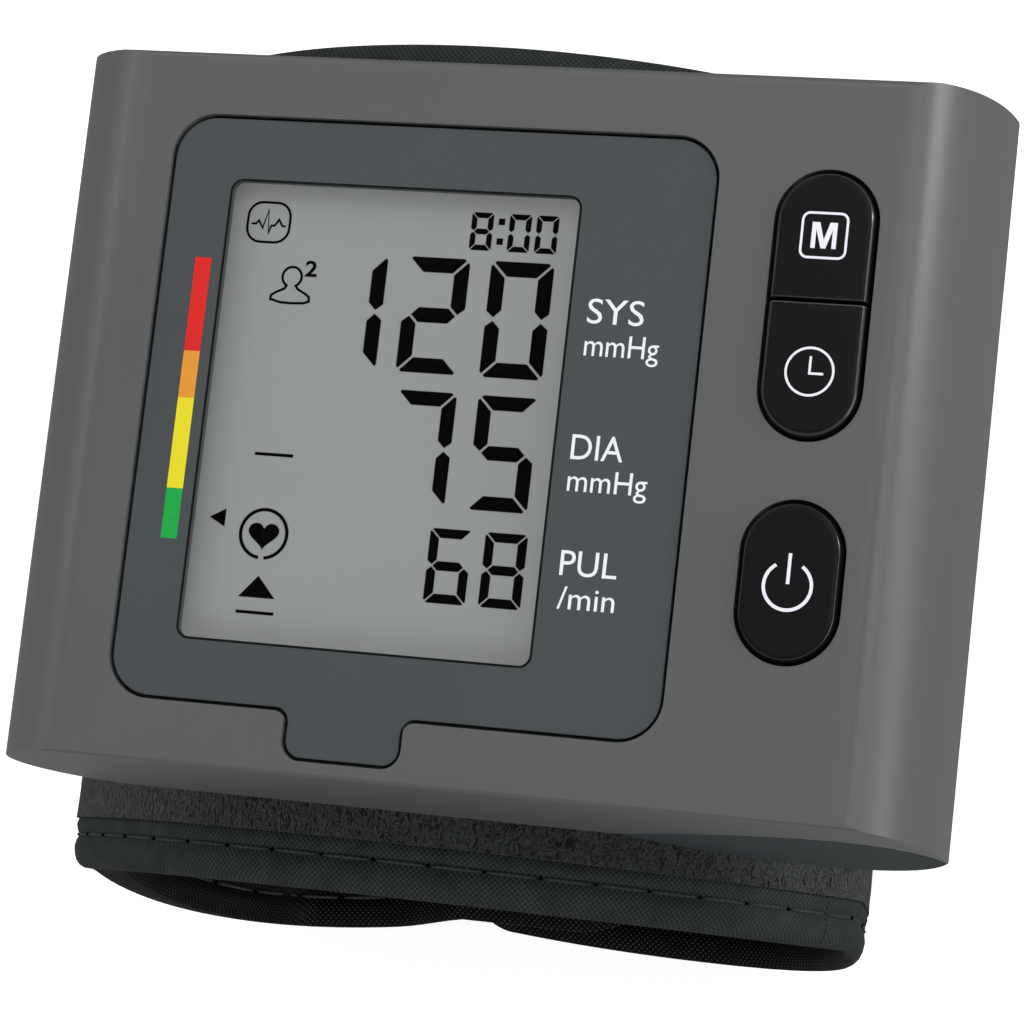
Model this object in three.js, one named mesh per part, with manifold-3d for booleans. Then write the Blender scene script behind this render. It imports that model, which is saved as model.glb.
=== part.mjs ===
// Wrist blood pressure monitor: a display unit on a closed hook-and-loop cuff.
// Millimetres. The device frame has its zero on the flat front face: +X runs to the
// right of the display, +Y to its top and +Z out of the face. The last lines raise
// the device, so that it stands on its cuff at Z = 0 with its box centred on Z.
import * as THREE from 'three';
import { mergeVertices } from 'three/addons/utils/BufferGeometryUtils.js';
import Module from 'manifold-3d';

const wasm = await Module();
wasm.setup();

// Housing, as a section seen from its lower end
const bodyThickness = 19.2;
const noseCentreX = -34.5;
const noseReach = 8.85;
const shoulderStartX = 30.6;
const shoulderReach = 7;
const shoulderDepth = 17.3;
const shoulderFullness = 2.4;
const tabMargin = 1.45;
const draft = 0.07;
const faceEdgeRound = 0.8;
const wall = 2;

// Battery door: the bulge behind the buttons
const doorEdgeX = 8.6;
const doorTipDepth = 16.6;
const doorWall = 1.3;
const doorEndWall = 1.8;
const doorGap = 0.35;
const seamLeftPull = { x: 11.4, z: 8.7 };
const seamRightPull = { x: 2.1, z: 14.5 };
const bulgeLeftPull = { x: 6, z: 9.8 };
const bulgeRightPull = { x: 5.1, z: 17.5 };
const doorHookLength = 2.2;
const doorHookThickness = 1.2;
const doorHookWidth = 5;
const doorHookSpacing = 24;

// Clearances
const seatGap = 0.3;
const panelGap = 0.3;
const buttonGap = 0.3;

// Display panel and what lies behind it
const panelLeft = -31.7;
const panelRight = 15.7;
const panelTop = 24.7;
const panelBottom = -25;
const panelCorner = 3.5;
const panelSunk = 0.3;
const panelThickness = 1.7;
const tabLeft = -15.6;
const tabRight = -5.8;
const tabBottom = -29;
const tabCorner = 1.4;
const tabFillet = 1.2;
const windowLeft = -26.2;
const windowRight = 4.4;
const windowTop = 19.3;
const windowBottom = -19.8;
const windowCorner = 0.9;
const windowOverlap = 1.4;
const windowThickness = 0.7;
const glassOverlap = 2;
const glassThickness = 1.8;
const wellWall = 2.2;
const wellDepth = 4;
const frameRim = 1.6;
const frameLand = 3;
const frameHeight = 1.7;
const stripWidth = 2;
const stripLength = 28;

// Buttons
const pillLeft = 21.2;
const pillRight = 29.3;
const pillTop = 22.4;
const pillBottom = 0.5;
const pillSplit = 11.7;
const powerTop = -4.8;
const powerBottom = -17.7;
const buttonProud = 0.6;
const buttonRound = 0.6;
const buttonFlange = 0.7;
const buttonFlangeThickness = 0.8;
const buttonStemLength = 0.5;
const buttonStemRadius = 1.5;
const plungerRadius = 1;
const plungerLength = 1.3;
const plungerRunGap = 0.3;
const plungerPocket = 1.2;
const switchSide = 6;
const switchHeight = 1.4;

// Main board
const boardLeft = -31;
const boardRight = 33;
const boardMargin = 4.95;
const boardThickness = 0.8;

// Rear cover, its screws and the battery tray moulded on it
const coverLeft = -34;
const coverMargin = 1.85;
const coverThickness = 1.9;
const coverCorner = 2;
const postX = [-28, 0];
const postInset = 2.6;
const postRadius = 2.2;
const screwHeadRadius = 1.8;
const screwHeadHeight = 0.8;
const screwShankRadius = 0.8;
const screwLength = 8;
const trayWebX = 5;
const trayWall = 1.2;
const trayRight = 34.4;
const trayMargin = 3.8;
const cellRadius = 5.25;
const cellBodyLength = 43.5;
const cellTipLength = 1;
const cellTipRadius = 1.9;
const cellSpacing = 10.8;
const firstCellX = 17.6;
const contactThickness = 0.4;
const contactWidth = 8;
const contactHeight = 7;
const springRadius = 2.4;
const springWire = 0.3;
const springTurns = 3;
const springLength = 3.4;

// Air system
const pumpX = -22;
const pumpWidth = 12;
const pumpDepth = 9;
const motorStartY = -23;
const motorLength = 16;
const pumpHeadLength = 9;
const nippleRadius = 1.2;
const nippleLength = 3;
const valveX = -1;
const valveStartY = -22;
const valveRadius = 4.2;
const valveLength = 13;
const manifoldY = 14;
const manifoldSide = 7;
const sensorX = 2;
const sensorSide = 6;
const sensorHeight = 3.6;
const hoseRadius = 1.7;
const buzzerRadius = 5;
const buzzerHeight = 3;
const buzzerX = -24;
const buzzerY = 19;
const nozzleRadius = 1.6;
const nozzleFlangeRadius = 4;
const nozzleFlangeThickness = 0.8;

// Cuff loop, as a section seen from the lower end of the housing
const loopCentreX = -13.5;
const loopHalfWidth = 38.8;
const loopTopDepth = 20.5;
const nearRadius = 42;
const sideRadius = 17;
const lowerHeight = 26;
const footHalfLength = 22;
const cuffHalfWidth = 38.6;
const cuffMiddleY = -0.7;
const wingBulge = 2.9;
const wingBulgePower = 0.85;
const flapBulge = 1.9;
const flapBulgePower = 0.7;
const cuspBulge = 0.7;
const bindingWidth = 5.1;
const bindingPinch = 0.9;
const pileThickness = 1.2;
const stiffenerThickness = 0.8;
const bladderThickness = 1.6;
const liningThickness = 0.8;
const hingeTaper = 9;
const layerStep = 4.6;
const edgeDrop = 0.6;
const edgeShare = 0.1;
const stiffenerMargin = 6;
const bladderMargin = 4;
const saddleHalfLength = 13;
const saddleHalfHeight = 22;
const rivetRadius = 1.3;
const rivetHeadRadius = 2.6;
const rivetHeadHeight = 0.9;
const rivetY = [-15, 4];

// Flap: the loose end of the cuff that closes over the left wing
const flapEndX = -19.4;
const flapEndRound = 5;
const flapStep = 2.2;
const flapHingeGap = 0.4;
const wingEndX = 5;
const wingRampLength = 7;
const hookPatchLength = 16;
const hookPatchHalfHeight = 24;
const hookPatchThickness = 0.8;
const hookPatchInset = 7;

// Values that follow from the ones above
const tipRise = (shoulderDepth - doorTipDepth) / shoulderDepth;
const tipAngle = Math.asin(tipRise ** (shoulderFullness / 2));
const tipX = shoulderStartX + shoulderReach * Math.cos(tipAngle) ** (2 / shoulderFullness);
const recessDepth = panelSunk + panelThickness + seatGap;
const glassTop = -recessDepth;
const glassBottom = glassTop - glassThickness;
const boardTop = glassBottom - seatGap - frameHeight - seatGap;
const boardBottom = boardTop - boardThickness;
const coverOutside = -bodyThickness;
const coverInside = coverOutside + coverThickness;
const switchTop = boardTop + seatGap + switchHeight;
const plungerTop = -wall - buttonGap - buttonFlangeThickness - buttonStemLength - seatGap;
const pumpZ = (boardBottom + coverInside) / 2;
const cellTop = -(bodyThickness / 2 + cellRadius - 1);
const cellZ = cellTop - cellRadius;
const trayFloorBottom = cellTop + seatGap;
const trayFloorTop = trayFloorBottom + trayWall;
const cellRowLength = cellBodyLength + cellTipLength + springLength + 2 * springWire + 3 * seatGap;
const contactInside = cellRowLength / 2;
const trayInsideHalf = contactInside + contactThickness + seatGap;
const trayHalfHeight = trayInsideHalf + trayWall;
const faceHalfHeight = Math.max(tabMargin - tabBottom, trayHalfHeight + trayMargin);
const coverHalfHeight = faceHalfHeight - coverMargin;
const boardHalfHeight = faceHalfHeight - boardMargin;
const postY = coverHalfHeight - postInset;
const leastCorner = 0.2;
const curveSteps = 12;

const colours = {
  shell: { color: 0x5f6062, roughness: 0.55, metalness: 0 },
  panel: { color: 0x4b5052, roughness: 0.6, metalness: 0 },
  door: { color: 0x454b4d, roughness: 0.6, metalness: 0 },
  window: { color: 0xd8dcda, roughness: 0.08, metalness: 0 },
  glass: { color: 0x939694, roughness: 0.35, metalness: 0 },
  button: { color: 0x202022, roughness: 0.3, metalness: 0 },
  frame: { color: 0xd9d8d2, roughness: 0.6, metalness: 0 },
  rubber: { color: 0x4a4a4c, roughness: 0.8, metalness: 0 },
  board: { color: 0x1f6b3a, roughness: 0.5, metalness: 0 },
  steel: { color: 0xb8babc, roughness: 0.35, metalness: 1 },
  cell: { color: 0x8d9094, roughness: 0.4, metalness: 0.3 },
  hose: { color: 0xdedfdb, roughness: 0.5, metalness: 0 },
  moulding: { color: 0x2d2f31, roughness: 0.6, metalness: 0 },
  pile: { color: 0x2c3130, roughness: 0.95, metalness: 0 },
  binding: { color: 0x343a3a, roughness: 0.8, metalness: 0 },
  lining: { color: 0x121313, roughness: 0.6, metalness: 0 },
  bladder: { color: 0x8a8c8a, roughness: 0.6, metalness: 0 },
  sheet: { color: 0xe4e4e0, roughness: 0.5, metalness: 0 },
};

const device = new THREE.Group();

// Adds one named sub-part to the device.
function addPart(name, body, finish) {
  const geometry = body.isBufferGeometry ? body : toGeometry(body);
  geometry.computeVertexNormals();
  const mesh = new THREE.Mesh(geometry, new THREE.MeshStandardMaterial(colours[finish]));
  mesh.name = name;
  device.add(mesh);
}

// Turns a closed geometry into a solid that can be joined and cut.
function toSolid(geometry) {
  let bare = geometry.clone();
  for (const name of Object.keys(bare.attributes)) {
    if (name !== 'position') {
      bare.deleteAttribute(name);
    }
  }
  bare = mergeVertices(bare, 1e-4);
  const vertProperties = new Float32Array(bare.attributes.position.array);
  const triVerts = new Uint32Array(bare.index.array);
  return new wasm.Manifold(new wasm.Mesh({ numProp: 3, vertProperties, triVerts }));
}

function toGeometry(body) {
  const data = body.getMesh();
  const geometry = new THREE.BufferGeometry();
  geometry.setAttribute('position', new THREE.BufferAttribute(new Float32Array(data.vertProperties), 3));
  geometry.setIndex(new THREE.BufferAttribute(new Uint32Array(data.triVerts), 1));
  return geometry;
}

// A box from its lowest to its highest corner.
function block(x0, y0, z0, x1, y1, z1) {
  const geometry = new THREE.BoxGeometry(x1 - x0, y1 - y0, z1 - z0);
  geometry.translate((x0 + x1) / 2, (y0 + y1) / 2, (z0 + z1) / 2);
  return toSolid(geometry);
}

// A round bar along Z from z0 to z1.
function post(x, y, radius, z0, z1, sides = 16) {
  const geometry = new THREE.CylinderGeometry(radius, radius, z1 - z0, sides);
  geometry.rotateX(Math.PI / 2);
  geometry.translate(x, y, (z0 + z1) / 2);
  return toSolid(geometry);
}

// A round bar along Y from y0 to y1.
function rod(x, z, radius, y0, y1, sides = 16) {
  const geometry = new THREE.CylinderGeometry(radius, radius, y1 - y0, sides);
  geometry.translate(x, (y0 + y1) / 2, z);
  return toSolid(geometry);
}

// A flat shape in X and Y, raised from z0 to z1.
function plate(shape, z0, z1) {
  const geometry = new THREE.ExtrudeGeometry(shape, {
    depth: z1 - z0,
    bevelEnabled: false,
    curveSegments: curveSteps / 2,
  });
  geometry.translate(0, 0, z0);
  return toSolid(geometry);
}

// A section in X and Z, drawn out along Y from y0 to y1.
function beam(shape, y0, y1) {
  const geometry = new THREE.ExtrudeGeometry(shape, {
    depth: y1 - y0,
    bevelEnabled: false,
    curveSegments: curveSteps,
  });
  geometry.rotateX(Math.PI / 2);
  geometry.translate(0, y1, 0);
  return toSolid(geometry);
}

function roundedRectangle(x0, y0, x1, y1, radius) {
  const shape = new THREE.Shape();
  shape.moveTo(x0 + radius, y1);
  shape.lineTo(x1 - radius, y1);
  shape.absarc(x1 - radius, y1 - radius, radius, Math.PI / 2, 0, true);
  shape.absarc(x1 - radius, y0 + radius, radius, 0, -Math.PI / 2, true);
  shape.absarc(x0 + radius, y0 + radius, radius, -Math.PI / 2, -Math.PI, true);
  shape.absarc(x0 + radius, y1 - radius, radius, Math.PI, Math.PI / 2, true);
  return shape;
}

// Everything inside the leaning top and bottom walls and behind the face, both
// moved inwards by the inset. The front edges are rounded where a radius is given.
function draftedSpace(inset, front, round) {
  const reach = 2 * (noseReach - noseCentreX + shoulderStartX);
  const depth = 2 * (bodyThickness + bulgeRightPull.z);
  const half = faceHalfHeight - inset;
  const lean = draft * depth;
  const shape = new THREE.Shape();
  shape.moveTo(round - half, front);
  shape.lineTo(half - round, front);
  shape.quadraticCurveTo(half, front, half + draft * round, front - round);
  shape.lineTo(half + lean, -depth);
  shape.lineTo(-half - lean, -depth);
  shape.lineTo(-half - draft * round, front - round);
  shape.quadraticCurveTo(-half, front, round - half, front);
  const geometry = new THREE.ExtrudeGeometry(shape, {
    depth: reach,
    bevelEnabled: false,
    curveSegments: 4,
  });
  const turn = new THREE.Matrix4().makeBasis(
    new THREE.Vector3(0, 1, 0),
    new THREE.Vector3(0, 0, 1),
    new THREE.Vector3(1, 0, 0),
  );
  geometry.applyMatrix4(turn);
  geometry.translate(-reach / 2, 0, 0);
  return toSolid(geometry);
}

// The parting line between front shell and battery door, from left to right.
function seamCurve() {
  return new THREE.CubicBezierCurve(
    new THREE.Vector2(doorEdgeX, -bodyThickness),
    new THREE.Vector2(doorEdgeX + seamLeftPull.x, -bodyThickness + seamLeftPull.z),
    new THREE.Vector2(tipX - seamRightPull.x, -doorTipDepth + seamRightPull.z),
    new THREE.Vector2(tipX, -doorTipDepth),
  );
}

// The outside of the battery door, from left to right.
function bulgeCurve() {
  const left = new THREE.Vector2(doorEdgeX + doorGap, -bodyThickness);
  const right = new THREE.Vector2(tipX, -doorTipDepth - doorGap);
  return new THREE.CubicBezierCurve(
    left,
    new THREE.Vector2(left.x + bulgeLeftPull.x, left.y - bulgeLeftPull.z),
    new THREE.Vector2(right.x - bulgeRightPull.x, right.y - bulgeRightPull.z),
    right,
  );
}

// Points along a curve, moved sideways: to its left where the distance is positive.
function besideCurve(curve, distance, from, to, steps) {
  const points = [];
  for (let i = 0; i <= steps; i += 1) {
    const t = from + ((to - from) * i) / steps;
    const point = curve.getPoint(t);
    const along = curve.getTangent(t);
    points.push(new THREE.Vector2(point.x - along.y * distance, point.y + along.x * distance));
  }
  return points;
}

// Draws the shoulder from the tip up to the face: fuller than an ellipse.
function drawShoulder(shape, reach, depth) {
  const steps = 2 * curveSteps;
  const power = 2 / shoulderFullness;
  for (let i = 0; i <= steps; i += 1) {
    const angle = tipAngle + ((Math.PI / 2 - tipAngle) * i) / steps;
    const across = Math.max(Math.cos(angle), 0) ** power;
    const up = Math.sin(angle) ** power;
    shape.lineTo(shoulderStartX + reach * across, depth * up - shoulderDepth);
  }
}

function shellSection() {
  const seam = seamCurve();
  const shape = new THREE.Shape();
  shape.moveTo(noseCentreX, 0);
  shape.absellipse(
    noseCentreX, -bodyThickness / 2, noseReach, bodyThickness / 2, Math.PI / 2, 1.5 * Math.PI, false,
  );
  shape.lineTo(seam.v0.x, seam.v0.y);
  shape.bezierCurveTo(seam.v1.x, seam.v1.y, seam.v2.x, seam.v2.y, seam.v3.x, seam.v3.y);
  drawShoulder(shape, shoulderReach, shoulderDepth);
  return shape;
}

// The room inside the front shell, open to the rear under the battery door.
function roomSection() {
  const insideReach = shoulderReach - wall;
  const rightX = tipX - wall;
  const openDepth = bodyThickness + bulgeRightPull.z;
  const shape = new THREE.Shape();
  shape.moveTo(noseCentreX, -wall);
  shape.absellipse(
    noseCentreX, -bodyThickness / 2, noseReach - wall, bodyThickness / 2 - wall,
    Math.PI / 2, 1.5 * Math.PI, false,
  );
  shape.lineTo(doorEdgeX, wall - bodyThickness);
  shape.lineTo(doorEdgeX, -openDepth);
  shape.lineTo(rightX, -openDepth);
  drawShoulder(shape, insideReach, shoulderDepth - wall);
  return shape;
}

// The display panel's outline with its tab, moved outwards by a distance.
function panelOutline(grow) {
  const x0 = panelLeft - grow;
  const x1 = panelRight + grow;
  const y0 = panelBottom - grow;
  const y1 = panelTop + grow;
  const t0 = tabLeft - grow;
  const t1 = tabRight + grow;
  const tabY = tabBottom - grow;
  const corner = panelCorner + grow;
  const round = tabCorner + grow;
  const fillet = Math.max(tabFillet - grow, leastCorner);
  const shape = new THREE.Shape();
  shape.moveTo(x0 + corner, y1);
  shape.absarc(x1 - corner, y1 - corner, corner, Math.PI / 2, 0, true);
  shape.absarc(x1 - corner, y0 + corner, corner, 0, -Math.PI / 2, true);
  shape.absarc(t1 + fillet, y0 - fillet, fillet, Math.PI / 2, Math.PI, false);
  shape.absarc(t1 - round, tabY + round, round, 0, -Math.PI / 2, true);
  shape.absarc(t0 + round, tabY + round, round, -Math.PI / 2, -Math.PI, true);
  shape.absarc(t0 - fillet, y0 - fillet, fillet, 0, Math.PI / 2, false);
  shape.absarc(x0 + corner, y0 + corner, corner, -Math.PI / 2, -Math.PI, true);
  shape.absarc(x0 + corner, y1 - corner, corner, Math.PI, Math.PI / 2, true);
  return shape;
}

function windowOutline(grow) {
  const corner = Math.max(windowCorner + grow, leastCorner);
  return roundedRectangle(
    windowLeft - grow, windowBottom - grow, windowRight + grow, windowTop + grow, corner,
  );
}

function capsule(bottom, top, grow) {
  const radius = (pillRight - pillLeft) / 2 + grow;
  return roundedRectangle(pillLeft - grow, bottom - grow, pillRight + grow, top + grow, radius);
}

// Front shell: the drafted hollow moulding with the display well, button holes and screw posts.
function makeFrontShell() {
  const farY = 2 * faceHalfHeight;
  const outside = beam(shellSection(), -farY, farY).intersect(draftedSpace(0, 0, faceEdgeRound));
  const room = beam(roomSection(), -farY, farY).intersect(draftedSpace(wall, -wall, faceEdgeRound));
  const well = plate(panelOutline(wellWall), -wellDepth, -wall / 2).intersect(outside);
  let shell = outside.subtract(room).add(well);
  for (const x of postX) {
    for (const y of [-postY, postY]) {
      const boss = post(x, y, postRadius, coverInside + seatGap, -wellDepth + seatGap);
      const pilot = post(x, y, screwShankRadius + seatGap, coverInside, coverInside + screwLength);
      shell = shell.add(boss).subtract(pilot);
    }
  }
  shell = shell.subtract(plate(panelOutline(panelGap), -recessDepth, wall));
  shell = shell.subtract(plate(windowOutline(glassOverlap + seatGap), -2 * wellDepth, wall));
  shell = shell.subtract(plate(capsule(pillBottom, pillTop, buttonGap), -2 * wall, wall));
  shell = shell.subtract(plate(capsule(powerBottom, powerTop, buttonGap), -2 * wall, wall));
  const rearHole = roundedRectangle(
    coverLeft - seatGap, -coverHalfHeight - seatGap,
    doorEdgeX + doorGap, coverHalfHeight + seatGap, coverCorner + seatGap,
  );
  return shell.subtract(plate(rearHole, -bodyThickness - wall, coverInside + seatGap));
}

function makeDisplay() {
  const panelFront = -panelSunk;
  const panelBack = panelFront - panelThickness;
  const windowFront = panelBack + windowThickness;
  let panel = plate(panelOutline(0), panelBack, panelFront);
  panel = panel.subtract(plate(windowOutline(0), panelBack - wall, wall));
  const rebate = windowOutline(windowOverlap + seatGap);
  panel = panel.subtract(plate(rebate, panelBack - wall, windowFront + seatGap));
  addPart('display_panel', panel, 'panel');
  addPart('display_window', plate(windowOutline(windowOverlap), panelBack, windowFront), 'window');
  addPart('lcd_glass', plate(windowOutline(glassOverlap), glassBottom, glassTop), 'glass');
  const frameTop = glassBottom - seatGap;
  const frameBottom = frameTop - frameHeight;
  const frame = plate(windowOutline(glassOverlap + frameRim), frameBottom, frameTop);
  const frameHole = plate(windowOutline(glassOverlap - frameLand), frameBottom - wall, frameTop + wall);
  addPart('lcd_frame', frame.subtract(frameHole), 'frame');
  const stripMiddle = (windowLeft + windowRight) / 2;
  const stripLow = windowBottom - glassOverlap + frameLand + seatGap;
  const strip = block(
    stripMiddle - stripLength / 2, stripLow, frameBottom,
    stripMiddle + stripLength / 2, stripLow + stripWidth, frameTop,
  );
  addPart('lcd_contact_strip', strip, 'rubber');
}

// One button: a round-edged cap, a flange that stops it under the face, and a stem.
function buttonSolid(bottom, top, cutLow, cutHigh, stemY) {
  const stemX = (pillLeft + pillRight) / 2;
  const flangeTop = -wall - buttonGap;
  const flangeBottom = flangeTop - buttonFlangeThickness;
  const capGeometry = new THREE.ExtrudeGeometry(capsule(bottom, top, -buttonRound), {
    depth: buttonProud - buttonRound - flangeBottom,
    bevelThickness: buttonRound,
    bevelSize: buttonRound,
    bevelSegments: 2,
    curveSegments: curveSteps / 2,
  });
  capGeometry.translate(0, 0, flangeBottom);
  const flange = plate(capsule(bottom, top, buttonFlange), flangeBottom, flangeTop);
  const limit = block(
    pillLeft - wall, cutLow, flangeBottom, pillRight + wall, cutHigh, 2 * buttonProud,
  );
  const stem = post(stemX, stemY, buttonStemRadius, flangeBottom - buttonStemLength, flangeTop);
  return toSolid(capGeometry).add(flange).intersect(limit).add(stem);
}

function makeButtons() {
  const far = 2 * faceHalfHeight;
  const halfGap = buttonGap / 2;
  const switchX = (pillLeft + pillRight) / 2;
  const half = switchSide / 2;
  const keys = [
    { name: 'memory', bottom: pillBottom, top: pillTop, low: pillSplit + halfGap, high: far },
    { name: 'time', bottom: pillBottom, top: pillTop, low: -far, high: pillSplit - halfGap },
    { name: 'power', bottom: powerBottom, top: powerTop, low: -far, high: far },
  ];
  for (const key of keys) {
    const y = (Math.max(key.low, key.bottom) + Math.min(key.high, key.top)) / 2;
    addPart(`${key.name}_button`, buttonSolid(key.bottom, key.top, key.low, key.high, y), 'button');
    const plunger = post(switchX, y, plungerRadius, plungerTop - plungerLength, plungerTop, 16);
    addPart(`${key.name}_switch_plunger`, plunger, 'moulding');
    const body = block(
      switchX - half, y - half, boardTop + seatGap, switchX + half, y + half, switchTop,
    );
    const pocket = post(switchX, y, plungerRadius + plungerRunGap, switchTop - plungerPocket, 0, 16);
    addPart(`${key.name}_switch`, body.subtract(pocket), 'steel');
  }
}

function makeBoard() {
  let board = block(boardLeft, -boardHalfHeight, boardBottom, boardRight, boardHalfHeight, boardTop);
  for (const x of postX) {
    for (const y of [-postY, postY]) {
      board = board.subtract(post(x, y, postRadius + seatGap, boardBottom - wall, boardTop + wall));
    }
  }
  addPart('main_board', board, 'board');
}

// Rear cover: the plate behind the display, the saddle for the cuff and the battery tray.
function makeRearCover() {
  const right = doorEdgeX - doorGap;
  const saddleTop = coverOutside + wall / 4;
  const saddleRadius = nearRadius + seatGap;
  const nearCentreZ = -loopTopDepth - nearRadius;
  let cover = plate(
    roundedRectangle(coverLeft, -coverHalfHeight, right, coverHalfHeight, coverCorner),
    coverOutside, coverInside,
  );
  const saddleAngle = Math.asin(saddleHalfLength / saddleRadius);
  const saddle = new THREE.Shape();
  saddle.moveTo(loopCentreX + saddleHalfLength, saddleTop);
  saddle.lineTo(loopCentreX - saddleHalfLength, saddleTop);
  saddle.absarc(
    loopCentreX, nearCentreZ, saddleRadius, Math.PI / 2 + saddleAngle, Math.PI / 2 - saddleAngle, true,
  );
  cover = cover.add(beam(saddle, -saddleHalfHeight, saddleHalfHeight));
  const web = block(
    trayWebX, -trayHalfHeight, coverInside - coverThickness / 2,
    trayWebX + trayWall, trayHalfHeight, trayFloorTop,
  );
  const floor = block(
    trayWebX, -trayHalfHeight, trayFloorBottom, trayRight, trayHalfHeight, trayFloorTop,
  );
  cover = cover.add(web).add(floor);
  for (const side of [-1, 1]) {
    const innerY = side * trayInsideHalf;
    const outerY = side * trayHalfHeight;
    cover = cover.add(block(
      firstCellX - cellRadius, Math.min(innerY, outerY), cellZ,
      trayRight - trayWall, Math.max(innerY, outerY), trayFloorTop,
    ));
  }
  for (const x of postX) {
    for (const y of [-postY, postY]) {
      const headRoom = screwHeadRadius + seatGap;
      const headSeat = coverOutside + screwHeadHeight + seatGap;
      const shankRoom = screwShankRadius + seatGap;
      cover = cover.subtract(post(x, y, headRoom, coverOutside - wall, headSeat));
      cover = cover.subtract(post(x, y, shankRoom, coverOutside - wall, coverInside + wall));
    }
  }
  const saddleBelow = -loopTopDepth - wall;
  for (const y of rivetY) {
    cover = cover.subtract(post(loopCentreX, y, rivetRadius + seatGap, saddleBelow, pumpZ));
  }
  cover = cover.subtract(post(loopCentreX, manifoldY, nozzleRadius + seatGap, saddleBelow, pumpZ));
  addPart('rear_cover', cover, 'panel');
}

// Battery door: a drafted bulge with end walls, hung on two hooks at its left edge.
function makeBatteryDoor() {
  const farY = 2 * faceHalfHeight;
  const bulge = bulgeCurve();
  const seam = seamCurve();
  const rim = besideCurve(seam, -doorGap, 0.97, 0.06, curveSteps);
  const skin = besideCurve(bulge, 0, 0, 1, 2 * curveSteps);
  const lining = besideCurve(bulge, doorWall, 0.02, 0.985, 2 * curveSteps);
  const outside = beam(new THREE.Shape([...skin, ...rim]), -farY, farY)
    .intersect(draftedSpace(0, 0, faceEdgeRound));
  const lid = new THREE.Vector2(lining[lining.length - 1].x, 0);
  const lidLeft = new THREE.Vector2(lining[0].x, 0);
  const room = beam(new THREE.Shape([...lining, lid, lidLeft]), -farY, farY)
    .intersect(draftedSpace(doorEndWall, 0, faceEdgeRound));
  let door = outside.subtract(room);
  const hookTop = (coverInside + trayFloorBottom) / 2 + doorHookThickness / 2;
  const legLeft = doorEdgeX + 2 * doorGap + doorHookThickness / 2;
  const legFoot = bulge.getPoint(0.1).y + doorWall / 2;
  for (const side of [-1, 1]) {
    const y = (side * doorHookSpacing) / 2;
    const low = y - doorHookWidth / 2;
    const high = y + doorHookWidth / 2;
    const tab = block(
      legLeft - doorHookThickness - doorHookLength, low, hookTop - doorHookThickness,
      legLeft + doorHookThickness, high, hookTop,
    );
    const leg = block(legLeft, low, legFoot, legLeft + doorHookThickness, high, hookTop);
    door = door.add(tab).add(leg);
  }
  addPart('battery_door', door, 'door');
}

// A helix along Y with flat-ground ends left out.
class SpringCurve extends THREE.Curve {
  constructor(x, z, startY, height) {
    super();
    this.x = x;
    this.z = z;
    this.startY = startY;
    this.height = height;
  }

  getPoint(t, target = new THREE.Vector3()) {
    const angle = 2 * Math.PI * springTurns * t;
    return target.set(
      this.x + springRadius * Math.cos(angle),
      this.startY + this.height * t,
      this.z + springRadius * Math.sin(angle),
    );
  }
}

// A round tube or wire along a curve.
function tubeAlong(curve, radius, steps, sides) {
  const section = new THREE.Shape();
  for (let i = 0; i < sides; i += 1) {
    const angle = (2 * Math.PI * i) / sides;
    const x = radius * Math.cos(angle);
    const y = radius * Math.sin(angle);
    if (i === 0) {
      section.moveTo(x, y);
    } else {
      section.lineTo(x, y);
    }
  }
  section.closePath();
  return toSolid(new THREE.ExtrudeGeometry(section, { extrudePath: curve, steps, bevelEnabled: false }));
}

function makeBatteries() {
  const tipEnd = contactInside - seatGap;
  const bodyEnd = tipEnd - cellTipLength;
  const bodyStart = bodyEnd - cellBodyLength;
  for (const [index, direction] of [[0, 1], [1, -1]]) {
    const x = firstCellX + index * cellSpacing;
    const number = index + 1;
    const tip = rod(x, cellZ, cellTipRadius, ...inOrder(direction * (bodyEnd - 1), direction * tipEnd));
    const can = rod(x, cellZ, cellRadius, ...inOrder(direction * bodyStart, direction * bodyEnd), 24);
    addPart(`cell_${number}`, can.add(tip), 'cell');
    const foot = direction * (springWire + seatGap - contactInside);
    const spring = new SpringCurve(x, cellZ, foot, direction * springLength);
    addPart(`battery_spring_${number}`, tubeAlong(spring, springWire, 8 * springTurns, 5), 'steel');
    for (const [end, label] of [[direction, 'positive'], [-direction, 'negative']]) {
      const [low, high] = inOrder(end * contactInside, end * (contactInside + contactThickness));
      const contact = block(
        x - contactWidth / 2, low, cellZ - contactHeight / 2 + seatGap,
        x + contactWidth / 2, high, cellZ + contactHeight / 2,
      );
      addPart(`contact_${label}_${number}`, contact, 'steel');
    }
  }
}

function inOrder(a, b) {
  return [Math.min(a, b), Math.max(a, b)];
}

function makeScrews() {
  let number = 1;
  for (const x of postX) {
    for (const y of [-postY, postY]) {
      const profile = [
        new THREE.Vector2(0, 0),
        new THREE.Vector2(screwHeadRadius, 0),
        new THREE.Vector2(screwHeadRadius, screwHeadHeight),
        new THREE.Vector2(screwShankRadius, screwHeadHeight),
        new THREE.Vector2(screwShankRadius, screwLength),
        new THREE.Vector2(0, screwLength),
      ];
      const geometry = new THREE.LatheGeometry(profile, 12);
      geometry.rotateX(Math.PI / 2);
      geometry.translate(x, y, coverOutside);
      addPart(`case_screw_${number}`, toSolid(geometry), 'steel');
      number += 1;
    }
  }
}

// A can or block with two flat sides, as small motors have.
function flatSided(x, z, width, depth) {
  const radius = width / 2;
  const half = depth / 2;
  const angle = Math.asin(half / radius);
  const shape = new THREE.Shape();
  shape.absarc(x, z, radius, -angle, angle, false);
  shape.absarc(x, z, radius, Math.PI - angle, Math.PI + angle, false);
  return shape;
}

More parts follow.
